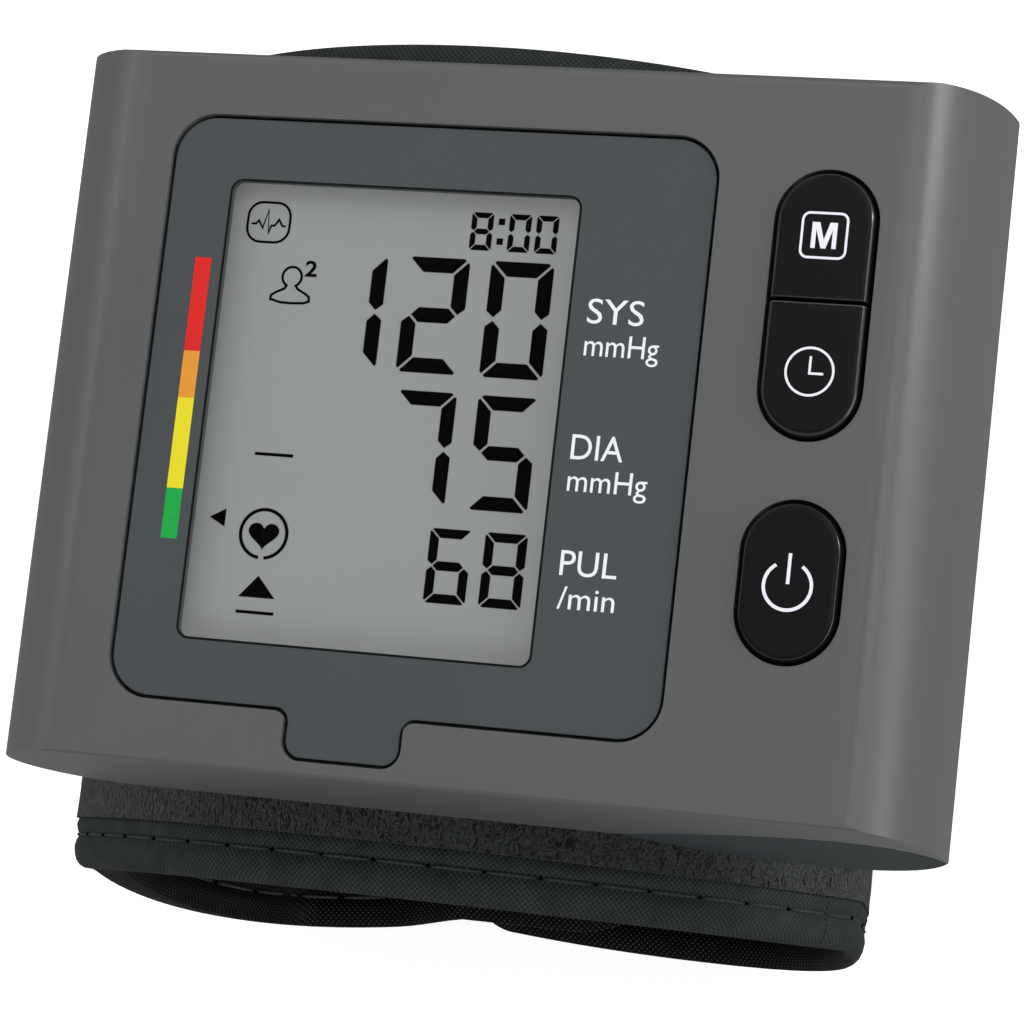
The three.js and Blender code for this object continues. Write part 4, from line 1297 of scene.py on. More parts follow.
    def heart(self) -> list[Point]:
        """Draws the heart, whose X is the cube of a sine and whose Y is a sum of four cosines.

        Returns:
            Its outline.
        """
        (x, y), (wide, tall) = self.heart_at, self.heart_half
        outline = []
        for i in range(40):
            t = -2 * math.pi * i / 40
            rise = (13 * math.cos(t) - 5 * math.cos(2 * t) - 2 * math.cos(3 * t) - math.cos(4 * t)) / 16
            outline.append((x + wide * math.sin(t) ** 3, y + tall * rise))
        return outline[::-1]

    def signs(self) -> list[Piece]:
        """Makes the small signs at the left of the digits.

        Returns:
            Their parts.
        """
        levels = self.on_glass()
        square = rounded_box(*self.beat_box, self.beat_round)
        head = arc(*self.head_at, self.head_radius, self.head_gap - 90, 270 - self.head_gap, 22)
        ring = arc(*self.ring_at, self.ring_radius, self.ring_gap - 90, 270 - self.ring_gap, 44)
        return [
            stroke("beat_square", square, self.hair, *levels, closed=True),
            stroke("beat_line", self.beat, self.beat_share * self.hair, *levels, closed=False),
            stroke("user_line", [*head, *self.shoulders], self.hair, *levels, closed=True),
            self.user_number.raised(*levels),
            plate("heart", self.heart(), *levels),
            stroke("heart_ring", ring, self.ring_line, *levels, closed=False),
            *(plate("arrow", arrow, *levels) for arrow in self.arrows),
            *(stroke("bar", bar, self.bar_line, *levels, closed=False) for bar in self.bars),
        ]


@dataclass
class CuffLoop:
    """The closed cuff: its path, its width and the depths of its layers.

    The path starts at the widest place on the right and runs over the top, down the left
    side and along the foot. A place on the cuff is a distance along the path, a Y from the
    cuff's middle and a depth below the outside.

    Attributes:
        centre_x: X of the loop's middle.
        half_width: Half its width.
        top_depth: Depth of its top below the front face.
        near_radius: Radius of the top.
        side_radius: Radius of the upper sides.
        lower_height: Height of the lower half.
        foot_half: Half the length of the flat foot.
        cuff_half: Half the cuff's width in Y.
        middle_y: Y of its middle.
        wing_bulge: How far the left wing's lobe of the far rim stands out.
        wing_power: How full that lobe is, fuller where it is smaller.
        flap_bulge: How far the flap's lobe stands out.
        flap_power: How full that lobe is.
        cusp_bulge: How far the place between the lobes stands out.
        tape: Width of the binding tape.
        pile: Thickness of the loop pile.
        lining: Thickness of the lining.
        deep: Depth of the lining over the bladder.
        thin: Depth of the lining where there is no bladder.
        gap: Clearance between layers.
        flap_end_x: X of the flap's loose end.
        flap_round: Corner radius of that end.
        wing_end_x: X of the end of the inner wing.
        wing_ramp: Length over which the wing climbs over the flap.
        wing_lift: How far it climbs.
        wing_taper: How far the wing's edges draw in at its end.
        taper_length: Length over which they draw in.
        join: Distance past the start where the flap's pieces meet the others.
        swell_from: Distance where the lining starts to go deeper, to make room for the bladder.
        swell_to: Distance where it is full deep.
        swell_end: Length before the foot over which it comes up again.
        samples: Number of steps on each curve of the path.
    """

    centre_x: float = -13.5
    half_width: float = 38.8
    top_depth: float = 20.5
    near_radius: float = 42.0
    side_radius: float = 17.0
    lower_height: float = 26.0
    foot_half: float = 22.0
    cuff_half: float = 38.6
    middle_y: float = -0.7
    wing_bulge: float = 2.9
    wing_power: float = 0.85
    flap_bulge: float = 1.9
    flap_power: float = 0.7
    cusp_bulge: float = 0.7
    tape: float = 5.1
    pile: float = 1.2
    lining: float = 0.8
    deep: float = 4.5
    thin: float = 1.5
    gap: float = 0.3
    flap_end_x: float = -19.4
    flap_round: float = 5.2
    wing_end_x: float = 5.0
    wing_ramp: float = 7.0
    wing_lift: float = 4.0
    wing_taper: float = 3.5
    taper_length: float = 12.0
    join: float = 8.0
    swell_from: float = 0.2
    swell_to: float = 9.0
    swell_end: float = 4.0
    samples: int = 120

    def __post_init__(self) -> None:
        """Samples the path once."""
        shift = self.half_width - self.side_radius
        near = math.asin(shift / (self.near_radius - self.side_radius))
        near_z = -self.top_depth - self.near_radius
        self.wide_z = near_z + (self.near_radius - self.side_radius) * math.cos(near)
        reach = self.half_width - self.foot_half
        quarter = math.pi / 2
        side, tall = self.side_radius, self.lower_height
        curves = (
            (shift, self.wide_z, side, side, 0.0, quarter - near),
            (0.0, near_z, self.near_radius, self.near_radius, quarter - near, quarter + near),
            (-shift, self.wide_z, side, side, quarter + near, 2 * quarter),
            (-self.foot_half, self.wide_z, reach, tall, 2 * quarter, 3 * quarter),
            (self.foot_half, self.wide_z, reach, tall, 3 * quarter, 4 * quarter),
        )
        self.points: list[Vector] = []
        self.lengths: list[float] = [0.0]
        marks = []
        for x, z, reach_x, reach_z, start, end in curves:
            for i in range(self.samples + 1):
                angle = start + (end - start) * i / self.samples
                here = Vector((self.centre_x + x + reach_x * math.cos(angle), z + reach_z * math.sin(angle)))
                if self.points:
                    step = (here - self.points[-1]).length
                    if step < MERGE:
                        continue
                    self.lengths.append(self.lengths[-1] + step)
                self.points.append(here)
            marks.append(self.lengths[-1])
        self.length = self.lengths[-1]
        self.wing_start = marks[2]
        self.foot_start = marks[3]

    def along(self, distance: float) -> tuple[Vector, Vector]:
        """Finds a place on the path.

        Args:
            distance: Distance along the path, which may pass its end.

        Returns:
            The point and the path's direction there, in X and Z.
        """
        distance %= self.length
        high = bisect_right(self.lengths, distance)
        low = high - 1
        share = (distance - self.lengths[low]) / (self.lengths[high] - self.lengths[low])
        point = self.points[low].lerp(self.points[high], share)
        before = self.points[low] - self.points[low - 1 if low > 0 else -2]
        here = self.points[high] - self.points[low]
        after = self.points[high + 1 if high + 1 < len(self.points) else 1] - self.points[high]
        direction = (before + here).normalized().lerp((here + after).normalized(), share)
        return point, direction.normalized()

    def place(self, distance: float, y: float, depth: float) -> Vector:
        """Returns the place in the shared frame, in metres, of a place on the cuff."""
        point, direction = self.along(distance)
        return at(point.x - direction.y * depth, self.middle_y + y, point.y + direction.x * depth)

    def foot(self, x: float) -> float:
        """Returns the distance along the path of an X on the foot."""
        return self.foot_start + x - (self.centre_x - self.foot_half)

    def lobe(self, distance: float, start: float, end: float, power: float) -> float:
        """Returns a swelling that rises from 0 to 1 and falls back to 0 between two distances."""
        share = min(max((distance - start) / (end - start), 0.0), 1.0)
        return max(math.sin(math.pi * share), 0.0) ** power

    def half(self, distance: float) -> float:
        """Measures the cuff's main part, whose left wing swells and then tapers.

        Args:
            distance: Distance along the path.

        Returns:
            Half its width.
        """
        cusp = self.foot(self.flap_end_x)
        swell = self.wing_bulge * self.lobe(distance, self.wing_start, cusp, self.wing_power)
        swell += self.cusp_bulge * smooth_rise(distance, self.wing_start, cusp)
        end = self.foot(self.wing_end_x)
        return self.cuff_half + swell - self.wing_taper * smooth_rise(distance, end - self.taper_length, end)

    def flap_half(self, distance: float) -> float:
        """Measures the flap, before its end is rounded.

        Args:
            distance: Distance along the path.

        Returns:
            Half its width.
        """
        cusp = self.foot(self.flap_end_x)
        swell = self.flap_bulge * self.lobe(distance, cusp, self.length, self.flap_power)
        return self.cuff_half + swell + self.cusp_bulge * (1 - smooth_rise(distance, cusp, self.length))

    def inside(self, distance: float) -> float:
        """Returns half the width between the two binding tapes of the main part."""
        return self.half(distance) - self.tape + self.gap

    def inside_flap(self, distance: float) -> float:
        """Returns half the width between the flap's binding tapes."""
        return self.flap_half(distance) - self.tape + self.gap

    def lift(self, distance: float) -> float:
        """Returns how deep the inner wing lies, where it passes over the flap."""
        top = self.foot(self.flap_end_x) - 2 * self.gap
        return self.wing_lift * smooth_rise(distance, top - self.wing_ramp, top)

    def lining_depth(self, distance: float) -> float:
        """Measures the lining of the main part, which goes deeper where the bladder lies.

        Args:
            distance: Distance along the path.

        Returns:
            Depth of its outer face.
        """
        full = smooth_rise(distance, self.swell_from, self.swell_to)
        full -= smooth_rise(distance, self.foot_start - self.swell_end, self.foot_start)
        return self.lift(distance) + self.thin + (self.deep - self.thin) * full

    def flap_lining_depth(self, distance: float) -> float:
        """Measures the flap's lining, which runs into that of the main part past the path's end.

        Args:
            distance: Distance along the path.

        Returns:
            Depth of its outer face.
        """
        if distance <= self.length:
            return self.thin
        return self.lining_depth(distance - self.length)


def fabric(name: str, steps: int, rows: int, surface: Surface) -> Piece:
    """Makes a sheet of cloth from a grid, with a UV map in metres along the cloth.

    Args:
        name: Name of the new piece.
        steps: Number of faces along it.
        rows: Number of faces across it.
        surface: Gives the place and the UV of each point from its two shares, 0 to 1.

    Returns:
        The new piece, one face thick.
    """
    bpy.ops.mesh.primitive_grid_add(x_subdivisions=steps, y_subdivisions=rows, size=2.0, calc_uvs=True)
    obj = bpy.context.object
    obj.name = obj.data.name = name
    flat: list[Point] = []
    for vertex in obj.data.vertices:
        vertex.co, uv = surface((vertex.co.x + 1) / 2, (vertex.co.y + 1) / 2)
        flat.append(uv)
    layer = obj.data.uv_layers.active.data
    for corner in obj.data.loops:
        layer[corner.index].uv = flat[corner.vertex_index]
    return obj


def ruffle(x: float, y: float) -> float:
    """Returns an uneven value from 0 to 1 that is always the same for a place on a pile."""
    value = math.sin(12.9898 * round(x, 2) + 78.233 * round(y, 2)) * 43758.5453
    return value - math.floor(value)


@dataclass
class Cuff:
    """The fabric of the cuff: pile, lining, binding tape and stitches.

    Attributes:
        loop: The cuff's path and depths.
        pile_step: Spacing of the points on the pile.
        lining_step: Spacing of the points on the lining.
        edge_step: Spacing of the points along a tape.
        rough: How far single points of the pile are drawn in.
        backing: How much of the pile's thickness is left for what lies under it.
        tape_sink: Depth of the fixed tapes' outer faces below the pile's.
        flap_sink: The same on the flap.
        overlap: How far a tape's inner face lies within the lining.
        fold_share: Greatest drop of the fold, as a share of the tape's whole thickness.
        rim: Width of the rim on the outside, next to the fold, that takes the blacker lining cloth: painted
            shade.
        stitch: Length of a stitch and its gap.
        stitch_inset: Distance of the stitches from the edge of the cuff.
        stitch_gap: Half the gap between two stitches, as a share of a stitch.
        outer_seam: Depth of the outer thread's middle in the tape.
        inner_seam: Depth of the inner thread's middle in the tape.
        thread: Thickness of the thread.
        wrap: Length of the thread's pattern that goes once round it.
        hole: Width of the black bead that stands for the shade in a needle hole.
        bead_power: How blunt the ends of a stitch are, blunter where it is smaller.
        bead_sides: Number of faces round a stitch, and along it.
        corner_steps: Number of steps round a corner of the flap's end.
        bend: Half the height over which the flap's cloth would bend; not used.
        width_steps: Number of steps in which a cloth's width is measured.
    """

    loop: CuffLoop
    pile_step: float = 1.1
    lining_step: float = 2.0
    edge_step: float = 1.6
    rough: float = 0.15
    backing: float = 0.35
    tape_sink: float = 0.25
    flap_sink: float = 0.2
    overlap: float = 0.1
    fold_share: float = 0.48
    rim: float = 0.15
    stitch: float = 4.9
    stitch_inset: float = 3.15
    stitch_gap: float = 0.05
    outer_seam: float = 0.09
    inner_seam: float = 0.1
    thread: float = 0.34
    wrap: float = 2.0
    hole: float = 0.34
    bead_power: float = 0.45
    bead_sides: int = 8
    corner_steps: int = 12
    bend: float = 7.4
    width_steps: int = 60

    def build(self) -> None:
        """Makes the fixed part of the cuff and its flap."""
        loop = self.loop
        self.wing_end = loop.foot(loop.wing_end_x)
        self.flap_start = loop.foot(loop.flap_end_x)
        self.flap_far = loop.length + loop.join
        self.build_main()
        self.build_flap()

    def main_outer(self, distance: float) -> float:
        """Returns the depth of the fixed tapes' outer faces."""
        return self.loop.lift(distance) + self.tape_sink

    def main_inner(self, distance: float) -> float:
        """Returns the depth of the fixed tapes' inner faces."""
        return self.loop.lining_depth(distance) + self.loop.lining - self.overlap

    def flap_face(self, distance: float) -> float:
        """Returns the depth of the flap's pile, which is the outside at every distance."""
        return 0.0

    def flap_outer(self, distance: float) -> float:
        """Returns the depth of the flap tape's outer face, the same at every distance."""
        return self.flap_sink

    def flap_inner(self, distance: float) -> float:
        """Returns the depth of the flap tape's inner face."""
        return self.loop.flap_lining_depth(distance) + self.loop.lining - self.overlap

    def layer(
        self, name: str, start: float, end: float, half: Along, depth: Along, step: float, rough: float = 0.0
    ) -> Piece:
        """Makes one layer of cloth between two distances along the loop.

        Args:
            name: Name of the new piece.
            start: Distance where it starts.
            end: Distance where it ends.
            half: Half its width at a distance.
            depth: Depth of its outer face at a distance.
            step: Spacing of its points.
            rough: How far single points are drawn in.

        Returns:
            The new piece, one face thick.
        """
        steps = round((end - start) / step)
        rows = round(2 * half((start + end) / 2) / step)

        def surface(u: float, v: float) -> tuple[Vector, Point]:
            """Places a point of the layer.

            Args:
                u: Its share of the length.
                v: Its share of the width.

            Returns:
                Its place and UV.
            """
            distance = start + (end - start) * u
            y = (2 * v - 1) * half(distance)
            within = min(u, 1 - u, v, 1 - v) > 0
            deep = depth(distance) + (rough * ruffle(distance, y) if within else 0.0)
            return self.loop.place(distance, y, deep), (distance * MM, y * MM)

        return fabric(name, steps, rows, surface)

    def pile_and_lining(
        self, name: str, start: float, end: float, half: Along, face: Along, under: Along
    ) -> tuple[Piece, Piece]:
        """Makes the two cloths of a part of the cuff.

        Args:
            name: The part's name.
            start: Distance where it starts.
            end: Distance where it ends.
            half: Half its width at a distance.
            face: Depth of the pile at a distance.
            under: Depth of the lining at a distance.

        Returns:
            The pile and the lining.
        """
        pile = self.layer(f"{name}_loop_pile", start, end, half, face, self.pile_step, self.rough)
        self.thicken(pile, self.loop.pile - self.backing)
        PILE.paint(pile)
        lining = self.layer(f"{name}_inner_lining", start, end, half, under, self.lining_step)
        self.thicken(lining, self.loop.lining)
        LINING.paint(lining)
        return pile, lining

    def thicken(self, obj: Piece, thickness: float) -> None:
        """Gives a sheet its thickness, towards the inside of the loop, and shades it smooth.

        Args:
            obj: The sheet.
            thickness: Its thickness.
        """
        edit_all(obj)
        face_outwards()
        leave_edit()
        middle = self.loop.place(0, 0, self.loop.half_width)
        face = obj.data.polygons[len(obj.data.polygons) // 2]
        outward = face.normal.dot(face.center - middle) > 0
        apply_modifier(obj, "SOLIDIFY", thickness=thickness * MM, offset=-1.0 if outward else 1.0)
        smooth_by_angle(obj, CLOTH_ANGLE)

    def binding(
        self, name: str, edge: list[Point], inward: list[Point], outer: Along, inner: Along
    ) -> Piece:
        """Folds a tape round an edge of the cuff.

        Args:
            name: Name of the new piece.
            edge: Places of the edge, as distance and Y.
            inward: Directions into the cuff at those places.
            outer: Depth of the tape's outer face at a distance.
            inner: Depth of its inner face at a distance.

        Returns:
            The new piece, a closed fold.
        """
        width, groove = self.loop.tape, self.stitch_inset
        # Inset from the cuff's edge and drop below the face: cut edge, seam groove, rounded fold.
        face = (
            (width, 0.35), (width - 0.15, 0.12), (width - 0.5, 0.0), (groove + 1.0, -0.12),
            (groove + 0.45, 0.02), (groove + 0.15, 0.2), (groove - 0.15, 0.2), (groove - 0.45, 0.02),
            (groove - 1.1, -0.1), (1.3, 0.02), (0.7, 0.25), (0.3, 0.6), (0.08, 1.05),
        )
        section = [(inset, drop, True) for inset, drop in face]
        section += [(inset, drop, False) for inset, drop in reversed(face)]
        section.append(section[0])
        last = len(edge) - 1
        run = [0.0]
        for before, here in zip(edge, edge[1:]):
            run.append(run[-1] + math.dist(before, here))

        def surface(u: float, v: float) -> tuple[Vector, Point]:
            """Places a point of the tape.

            Args:
                u: Its share of the length.
                v: Its share of the way round the section.

            Returns:
                Its place and UV.
            """
            i, j = round(u * last), round(v * (len(section) - 1))
            inset, drop, is_outer = section[j]
            distance = edge[i][0] + inward[i][0] * inset
            y = edge[i][1] + inward[i][1] * inset
            top, bottom = outer(edge[i][0]), inner(edge[i][0])
            drop = min(drop, self.fold_share * (bottom - top))
            depth = top + drop if is_outer else bottom - drop
            across = inset + max((bottom - top) / 2 - face[-1][1], 0.0)
            return self.loop.place(distance, y, depth), (run[i] * MM, (across if is_outer else -across) * MM)

        obj = fabric(name, last, len(section) - 1, surface)
        seal(obj, merge=0.01)
        smooth_by_angle(obj, TAPE_ANGLE)
        TAPE.paint(obj)
        # The tape's inner face and the rim next to its fold take the blacker lining cloth: painted shade
        # inside the loop.
        obj.data.materials.append(FOLD_SHADE.material())
        flat = obj.data.uv_layers.active.data
        for polygon in obj.data.polygons:
            across = [flat[corner].uv[1] for corner in polygon.loop_indices]
            polygon.material_index = int(sum(across) / len(across) < self.rim * MM)
        return obj

    def seams(
        self, name: str, edge: list[Point], inward: list[Point], outer: Along, inner: Along
    ) -> list[Piece]:
        """Sews the two faces of a tape.

        Args:
            name: Name that the seams' names start with.
            edge: Places of the cuff's edge, as distance and Y.
            inward: Directions into the cuff at those places.
            outer: Depth of the tape's outer face at a distance.
            inner: Depth of its inner face at a distance.

        Returns:
            The outer and the inner seam.
        """
        outer_depths = [outer(distance) + self.outer_seam for distance, _ in edge]
        inner_depths = [inner(distance) - self.inner_seam for distance, _ in edge]
        return [
            self.stitches(f"{name}_{face}", edge, inward, depths)
            for face, depths in (("outer", outer_depths), ("inner", inner_depths))
        ]

    def stitches(self, name: str, edge: list[Point], inward: list[Point], depths: list[float]) -> Piece:
        """Sews a line of long stitches along a tape.

        Args:
            name: Name of the new piece.
            edge: Places of the cuff's edge, as distance and Y.
            inward: Directions into the cuff at those places.
            depths: Depths of the thread's middle there.

        Returns:
            The new piece.
        """
        line = [
            self.loop.place(d + n * self.stitch_inset, y + m * self.stitch_inset, depth)
            for (d, y), (n, m), depth in zip(edge, inward, depths)
        ]
        run = [0.0]
        for before, here in zip(line, line[1:]):
            run.append(run[-1] + (here - before).length)
        count = int(run[-1] / (self.stitch * MM))
        pitch = run[-1] / count

        def spot(stitches: float) -> Vector:
            """Finds a place on the seam.

            Args:
                stitches: Number of stitches from its start.

            Returns:
                The place.
            """
            goal = stitches * pitch
            i = bisect_right(run, goal) - 1
            return line[i].lerp(line[i + 1], (goal - run[i]) / (run[i + 1] - run[i]))

        threads = []
        for k in range(count):
            start, end = spot(k + self.stitch_gap), spot(k + 1 - self.stitch_gap)
            threads.append(self.bead(start, end, self.thread, THREAD))
            # Between stitches, a black bead stands for the shade in the needle hole: painted shade.
            if k > 0:
                middle, aside = spot(k), (end - start).normalized() * self.hole / 2 * MM
                threads.append(self.bead(middle - aside, middle + aside, self.hole, HOLE))
        return joined(name, threads)

    def bead(self, start: Vector, end: Vector, width: float, finish: Finish) -> Piece:
        """Makes a stretched round bead: one stitch of thread, or a black bead of painted shade in a needle
        hole.

        Args:
            start: Its first end.
            end: Its second end.
            width: Its thickness.
            finish: Its finish.

        Returns:
            The new piece.
        """
        bpy.ops.mesh.primitive_uv_sphere_add(
            segments=self.bead_sides, ring_count=self.bead_sides, radius=1.0, calc_uvs=True
        )
        bead = bpy.context.object
        finish.paint(bead)
        radius = width / 2 * MM
        turn = (end - start).to_track_quat("Z", "Y").to_matrix().to_4x4()
        middle = Matrix.Translation((start + end) / 2)
        for vertex in bead.data.vertices:
            bulge = math.copysign(abs(vertex.co.z) ** self.bead_power, vertex.co.z)
            vertex.co.z = bulge * (end - start).length / 2
            vertex.co.xy = vertex.co.xy * radius
        bead.data.transform(middle @ turn)
        for corner in bead.data.uv_layers.active.data:
            corner.uv = (corner.uv[0] * self.wrap * MM, corner.uv[1] * self.stitch * MM)
        for face in bead.data.polygons:
            face.use_smooth = True
        return bead

    def straight_edge(self, side: Side, start: float, end: float, half: Along) -> Edge:
        """Follows one long edge of a part of the cuff.

        Args:
            side: Which edge.
            start: Distance where it starts.
            end: Distance where it ends.
            half: Half the part's width at a distance.

        Returns:
            Its places, as distance and Y, and the directions into the cuff there.
        """
        steps = round((end - start) / self.edge_step)
        distances = [start + (end - start) * i / steps for i in range(steps + 1)]
        edge = [(d, side.value * half(d)) for d in distances]
        return edge, [(0.0, -float(side.value))] * len(edge)

    def flap_edge(self) -> Edge:
        """Follows the edge of the flap: one side, its rounded end and the other side.

        Returns:
            Its places, as distance and Y, and the directions into the cuff there.
        """
        half, steps, radius = self.loop.flap_half, self.corner_steps, self.loop.flap_round
        start = self.flap_start + radius
        corner_half = half(start) - radius
        lower, inward = self.straight_edge(Side.LOWER, start, self.flap_far, half)
        edge, ways = lower[::-1], list(inward)
        for side, turns in ((-1, range(1, steps + 1)), (1, range(steps, 0, -1))):
            for i in turns:
                a = math.radians(90 * i / steps)
                edge.append((start - radius * math.sin(a), side * (corner_half + radius * math.cos(a))))
                ways.append((math.sin(a), -side * math.cos(a)))
            if side < 0:
                edge += [(self.flap_start, share * corner_half) for share in (-0.5, 0.0, 0.5)]
                ways += [(1.0, 0.0)] * 3
        upper, inward = self.straight_edge(Side.UPPER, start, self.flap_far, half)
        return edge + upper, ways + inward

    def declare(self, start: float, end: float, half: Along) -> None:
        """Measures a layer's width at steps along the loop, and keeps nothing of it.

        Args:
            start: Distance where it starts.
            end: Distance where it ends.
            half: Half its width at a distance.
        """
        steps = self.width_steps
        widths = [2 * half(start + (end - start) * i / steps) for i in range(steps + 1)]

    def build_main(self) -> None:
        """Makes the part of the cuff that stays on the housing."""
        loop, start, end = self.loop, self.loop.join, self.wing_end
        pile, lining = self.pile_and_lining("cuff", start, end, loop.inside, loop.lift, loop.lining_depth)
        settle(pile, Body.HOUSING, "pile", "cuff_pile")
        settle(lining, Body.HOUSING, "lining", "cuff_lining")
        for side, word in ((Side.LOWER, "lower"), (Side.UPPER, "upper")):
            faces = (*self.straight_edge(side, start, end, loop.half), self.main_outer, self.main_inner)
            tape = self.binding(f"cuff_tape_{word}", *faces)
            settle(tape, Body.HOUSING, "binding", f"cuff_binding_{word}")
            for seam in self.seams(f"cuff_stitches_{word}", *faces):
                settle(seam, Body.HOUSING, "binding")
        for cloth in (pile, lining):
            self.declare(start, end, loop.inside)

    def build_flap(self) -> None:
        """Makes the flap's cloth in place of the flap's CAD nodes, with its place baked into its mesh."""
        loop = self.loop
        start, end = self.flap_start + loop.tape - loop.gap, self.flap_far
        pile, lining = self.pile_and_lining(
            "flap", start, end, loop.inside_flap, self.flap_face, loop.flap_lining_depth
        )
        faces = (*self.flap_edge(), self.flap_outer, self.flap_inner)
        tape = self.binding("flap_tape", *faces)
        rows = (
            (pile, "pile", ("flap_pile",)),
            (lining, "lining", ("flap_lining",)),
            (tape, "binding", ("flap_binding",)),
            *((seam, "binding", ()) for seam in self.seams("flap_stitches", *faces)),
        )
        for piece, slot, nodes in rows:
            if nodes:
                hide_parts(*nodes)
            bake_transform(piece)
            log.info("%s: %d faces between housing and flap", piece.name, len(piece.data.polygons))
        for cloth in (pile, lining):
            self.declare(start, end, loop.inside_flap)


@dataclass
class AirBladder:
    """The flat air bladder between the stiffener and the lining.

    Attributes:
        loop: The cuff's path and depths.
        start: Distance along the loop where it starts.
        end_margin: Length between its end and the foot.
        side_margin: Distance of its sides from the tapes.
        half_thick: Half its thickness.
        rest: Distance of its middle from the gap over the lining.
        crown: How full its section is, fuller where it is smaller.
        weld: Length over which its ends thin out, as a share of its own.
        weld_thick: Thickness of its ends, as a share of its own.
        steps: Number of faces along it.
        rows: Number of faces round it.
    """

    loop: CuffLoop
    start: float = 13.6
    end_margin: float = 8.6
    side_margin: float = 4.6
    half_thick: float = 0.75
    rest: float = 0.8
    crown: float = 0.35
    weld: float = 0.03
    weld_thick: float = 0.15
    steps: int = 90
    rows: int = 48

    def surface(self, u: float, v: float) -> tuple[Vector, Point]:
        """Places a point of the bladder.

        Args:
            u: Its share of the length.
            v: Its share of the way round the section.

        Returns:
            Its place and UV.
        """
        loop = self.loop
        distance = self.start + (loop.foot_start - self.end_margin - self.start) * u
        turn = 2 * math.pi * v
        y = (loop.inside(distance) - self.side_margin) * math.cos(turn)
        crown = math.copysign(abs(math.sin(turn)) ** self.crown, math.sin(turn))
        full = smooth_rise(min(u, 1 - u), 0.0, self.weld)
        thick = self.half_thick * (self.weld_thick + (1 - self.weld_thick) * full)
        depth = loop.deep - loop.gap - self.rest - thick * crown
        return loop.place(distance, y, depth), (distance * MM, y * MM)

    def build(self) -> None:
        """Makes the bladder, with little air in it."""
        bladder = fabric("cuff_air_bladder", self.steps, self.rows, self.surface)
        seal(bladder, merge=0.005)
        smooth_by_angle(bladder, CLOTH_ANGLE)
        FILM.paint(bladder)
        settle(bladder, Body.HOUSING, "bladder", "cuff_bladder")


@dataclass(frozen=True)
class Softbox:
    """A rectangular lamp, with its lengths in metres in the shared frame.

    Attributes:
        name: Its name.
        place: Its middle.
        aim: The point that it faces.
        size: Its width and height.
        power: Its power in watts.
        mirrored: Whether glossy surfaces mirror it.
    """

    name: str
    place: Triple
    aim: Triple
    size: Point
    power: float
    mirrored: bool = True

    def hang(self) -> None:
        """Puts the lamp into the scene."""
        light = bpy.data.lights.new(self.name, "AREA")
        light.shape = "RECTANGLE"
        light.size, light.size_y = self.size
        light.energy = self.power
        lamp = bpy.data.objects.new(self.name, light)
        lamp.location = self.place
        lamp.visible_glossy = self.mirrored
        lamp.rotation_euler = (Vector(self.aim) - Vector(self.place)).to_track_quat("-Z", "Y").to_euler()
        bpy.context.scene.collection.objects.link(lamp)


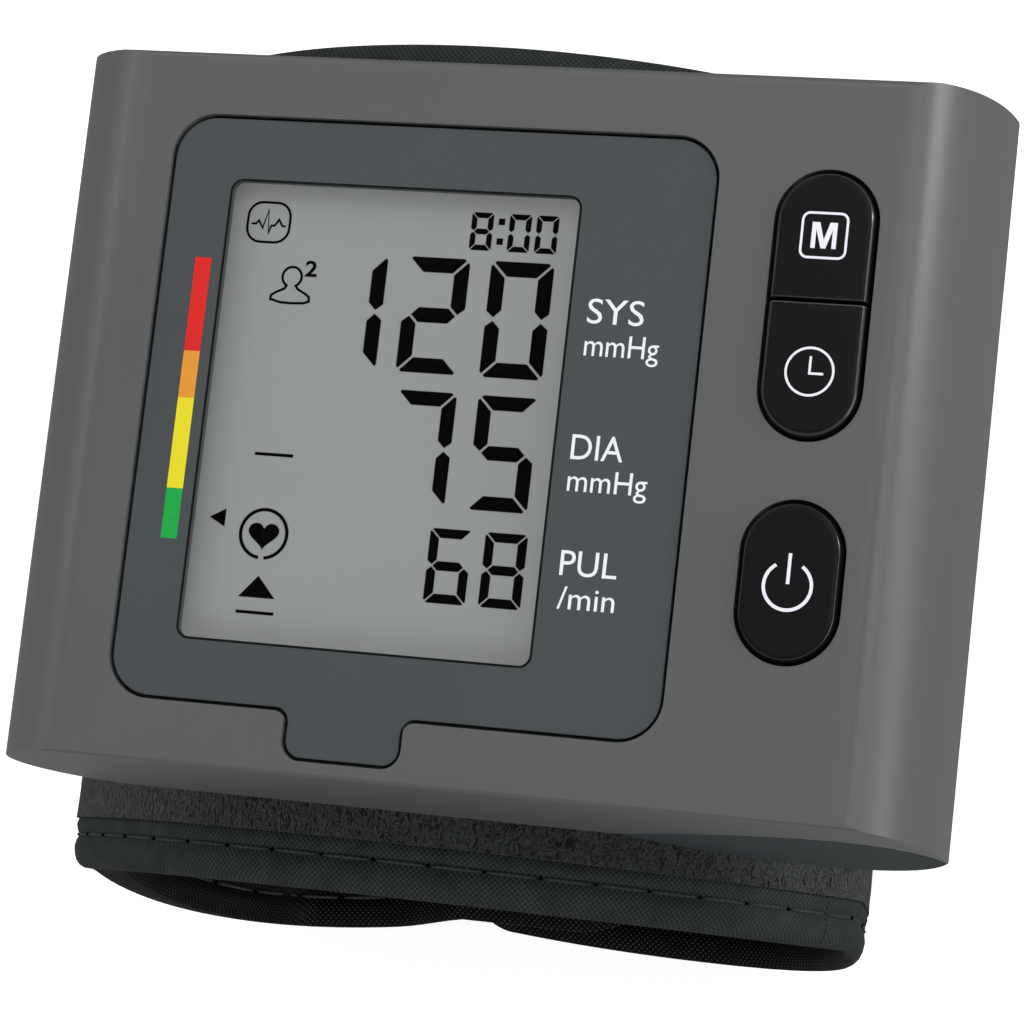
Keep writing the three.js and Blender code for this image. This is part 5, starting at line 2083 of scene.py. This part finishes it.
@dataclass
class Studio:
    """The floor, the light and the camera.

    Attributes:
        floor_size: Width of the floor, in metres.
        floor_drop: How far it lies below the cuff's foot, in metres.
        sky: Strength of the even light from above.
        ground: Strength of the even light from below.
        horizon: Half the height over which the one passes into the other, on a ball of radius one.
        lamps: The softboxes.
        lens: Focal length of the camera.
        sensor: Width of its frame.
        near: Distance in metres where its view starts.
        camera_at: Its place in the device frame.
        camera_right: Direction of the picture's right.
        camera_up: Direction of the picture's top.
        camera_back: Direction from the picture to the camera.
    """

    floor_size: float = 8.0
    floor_drop: float = 0.0002
    sky: float = 0.36
    ground: float = 0.28
    horizon: float = 0.05
    lamps: tuple[Softbox, ...] = (
        Softbox("side_strip", (0.48, 0.20, 0.28), (0.04, 0.02, 0.07), (0.06, 0.3), 1.5),
        Softbox("right_fill", (0.90, -0.20, 0.12), (0.0, 0.0, 0.06), (0.6, 0.5), 3.0),
        Softbox("left_strip", (-0.55, 0.43, 0.52), (0.0, 0.0, 0.07), (0.9, 0.1), 1.5),
        Softbox("top_softbox", (0.30, 0.48, 1.20), (0.0, 0.0, 0.05), (1.0, 0.8), 3.7),
        Softbox("front_fill", (-0.35, -0.75, 0.75), (0.0, 0.0, 0.05), (0.8, 0.6), 4.9, mirrored=False),
    )
    lens: float = 123.74
    sensor: float = 36.0
    near: float = 0.01
    camera_at: Triple = (80.18, -43.70, 275.135)
    camera_right: Triple = (0.95935977, 0.11183192, -0.25908003)
    camera_up: Triple = (-0.07396779, 0.98567536, 0.15156801)
    camera_back: Triple = (0.27231894, -0.12624467, 0.95388924)

    def build(self) -> None:
        """Sets up the whole studio."""
        self.floor()
        self.world()
        for lamp in self.lamps:
            lamp.hang()
        self.camera()
        view = bpy.context.scene.view_settings
        view.view_transform = "Standard"
        view.look = "None"

    def floor(self) -> None:
        """Makes a wide flat floor, lit from below, that the object doesn't mirror."""
        bpy.ops.mesh.primitive_plane_add(size=self.floor_size, location=(0, 0, -self.floor_drop))
        floor = bpy.context.object
        floor.name = floor.data.name = "studio_floor"
        bpy.ops.object.transform_apply(location=True)
        OPAL.paint(floor)
        floor.visible_glossy = floor.visible_diffuse = False

    def world(self) -> None:
        """Lights the scene evenly from above the horizon, and less from below it."""
        world = bpy.data.worlds.new("studio_white")
        world.use_nodes = True
        tree = world.node_tree
        sky = tree.nodes["Background"]
        sky.inputs["Color"].default_value = linear("#ffffff")
        way = add_node(tree, "ShaderNodeTexCoord").outputs["Generated"]
        height = add_node(tree, "ShaderNodeSeparateXYZ", links={"Vector": way}).outputs["Z"]
        above = add_node(
            tree,
            "ShaderNodeMapRange",
            {
                "From Min": -self.horizon, "From Max": self.horizon,
                "To Min": self.ground, "To Max": self.sky,
            },
            {"Value": height},
        )
        tree.links.new(above.outputs[0], sky.inputs["Strength"])
        bpy.context.scene.world = world

    def camera(self) -> None:
        """Puts the camera where the photograph was taken from."""
        data = bpy.data.cameras.new("photo_camera")
        data.lens = self.lens
        data.sensor_width = self.sensor
        data.clip_start = self.near
        camera = bpy.data.objects.new("photo_camera", data)
        turn = Matrix((self.camera_right, self.camera_up, self.camera_back)).transposed()
        camera.matrix_world = Matrix.Translation(at(*self.camera_at)) @ turn.to_4x4()
        bpy.context.scene.collection.objects.link(camera)
        bpy.context.scene.camera = camera


def main() -> None:
    """Builds the monitor's pieces and the studio in order."""
    logging.basicConfig(level=logging.INFO, format="%(message)s")
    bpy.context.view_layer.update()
    Studio().build()
    Housing().build()
    Keys().build()
    Display().build()
    loop = CuffLoop()
    Cuff(loop).build()
    AirBladder(loop).build()


if __name__ == "__main__":
    main()
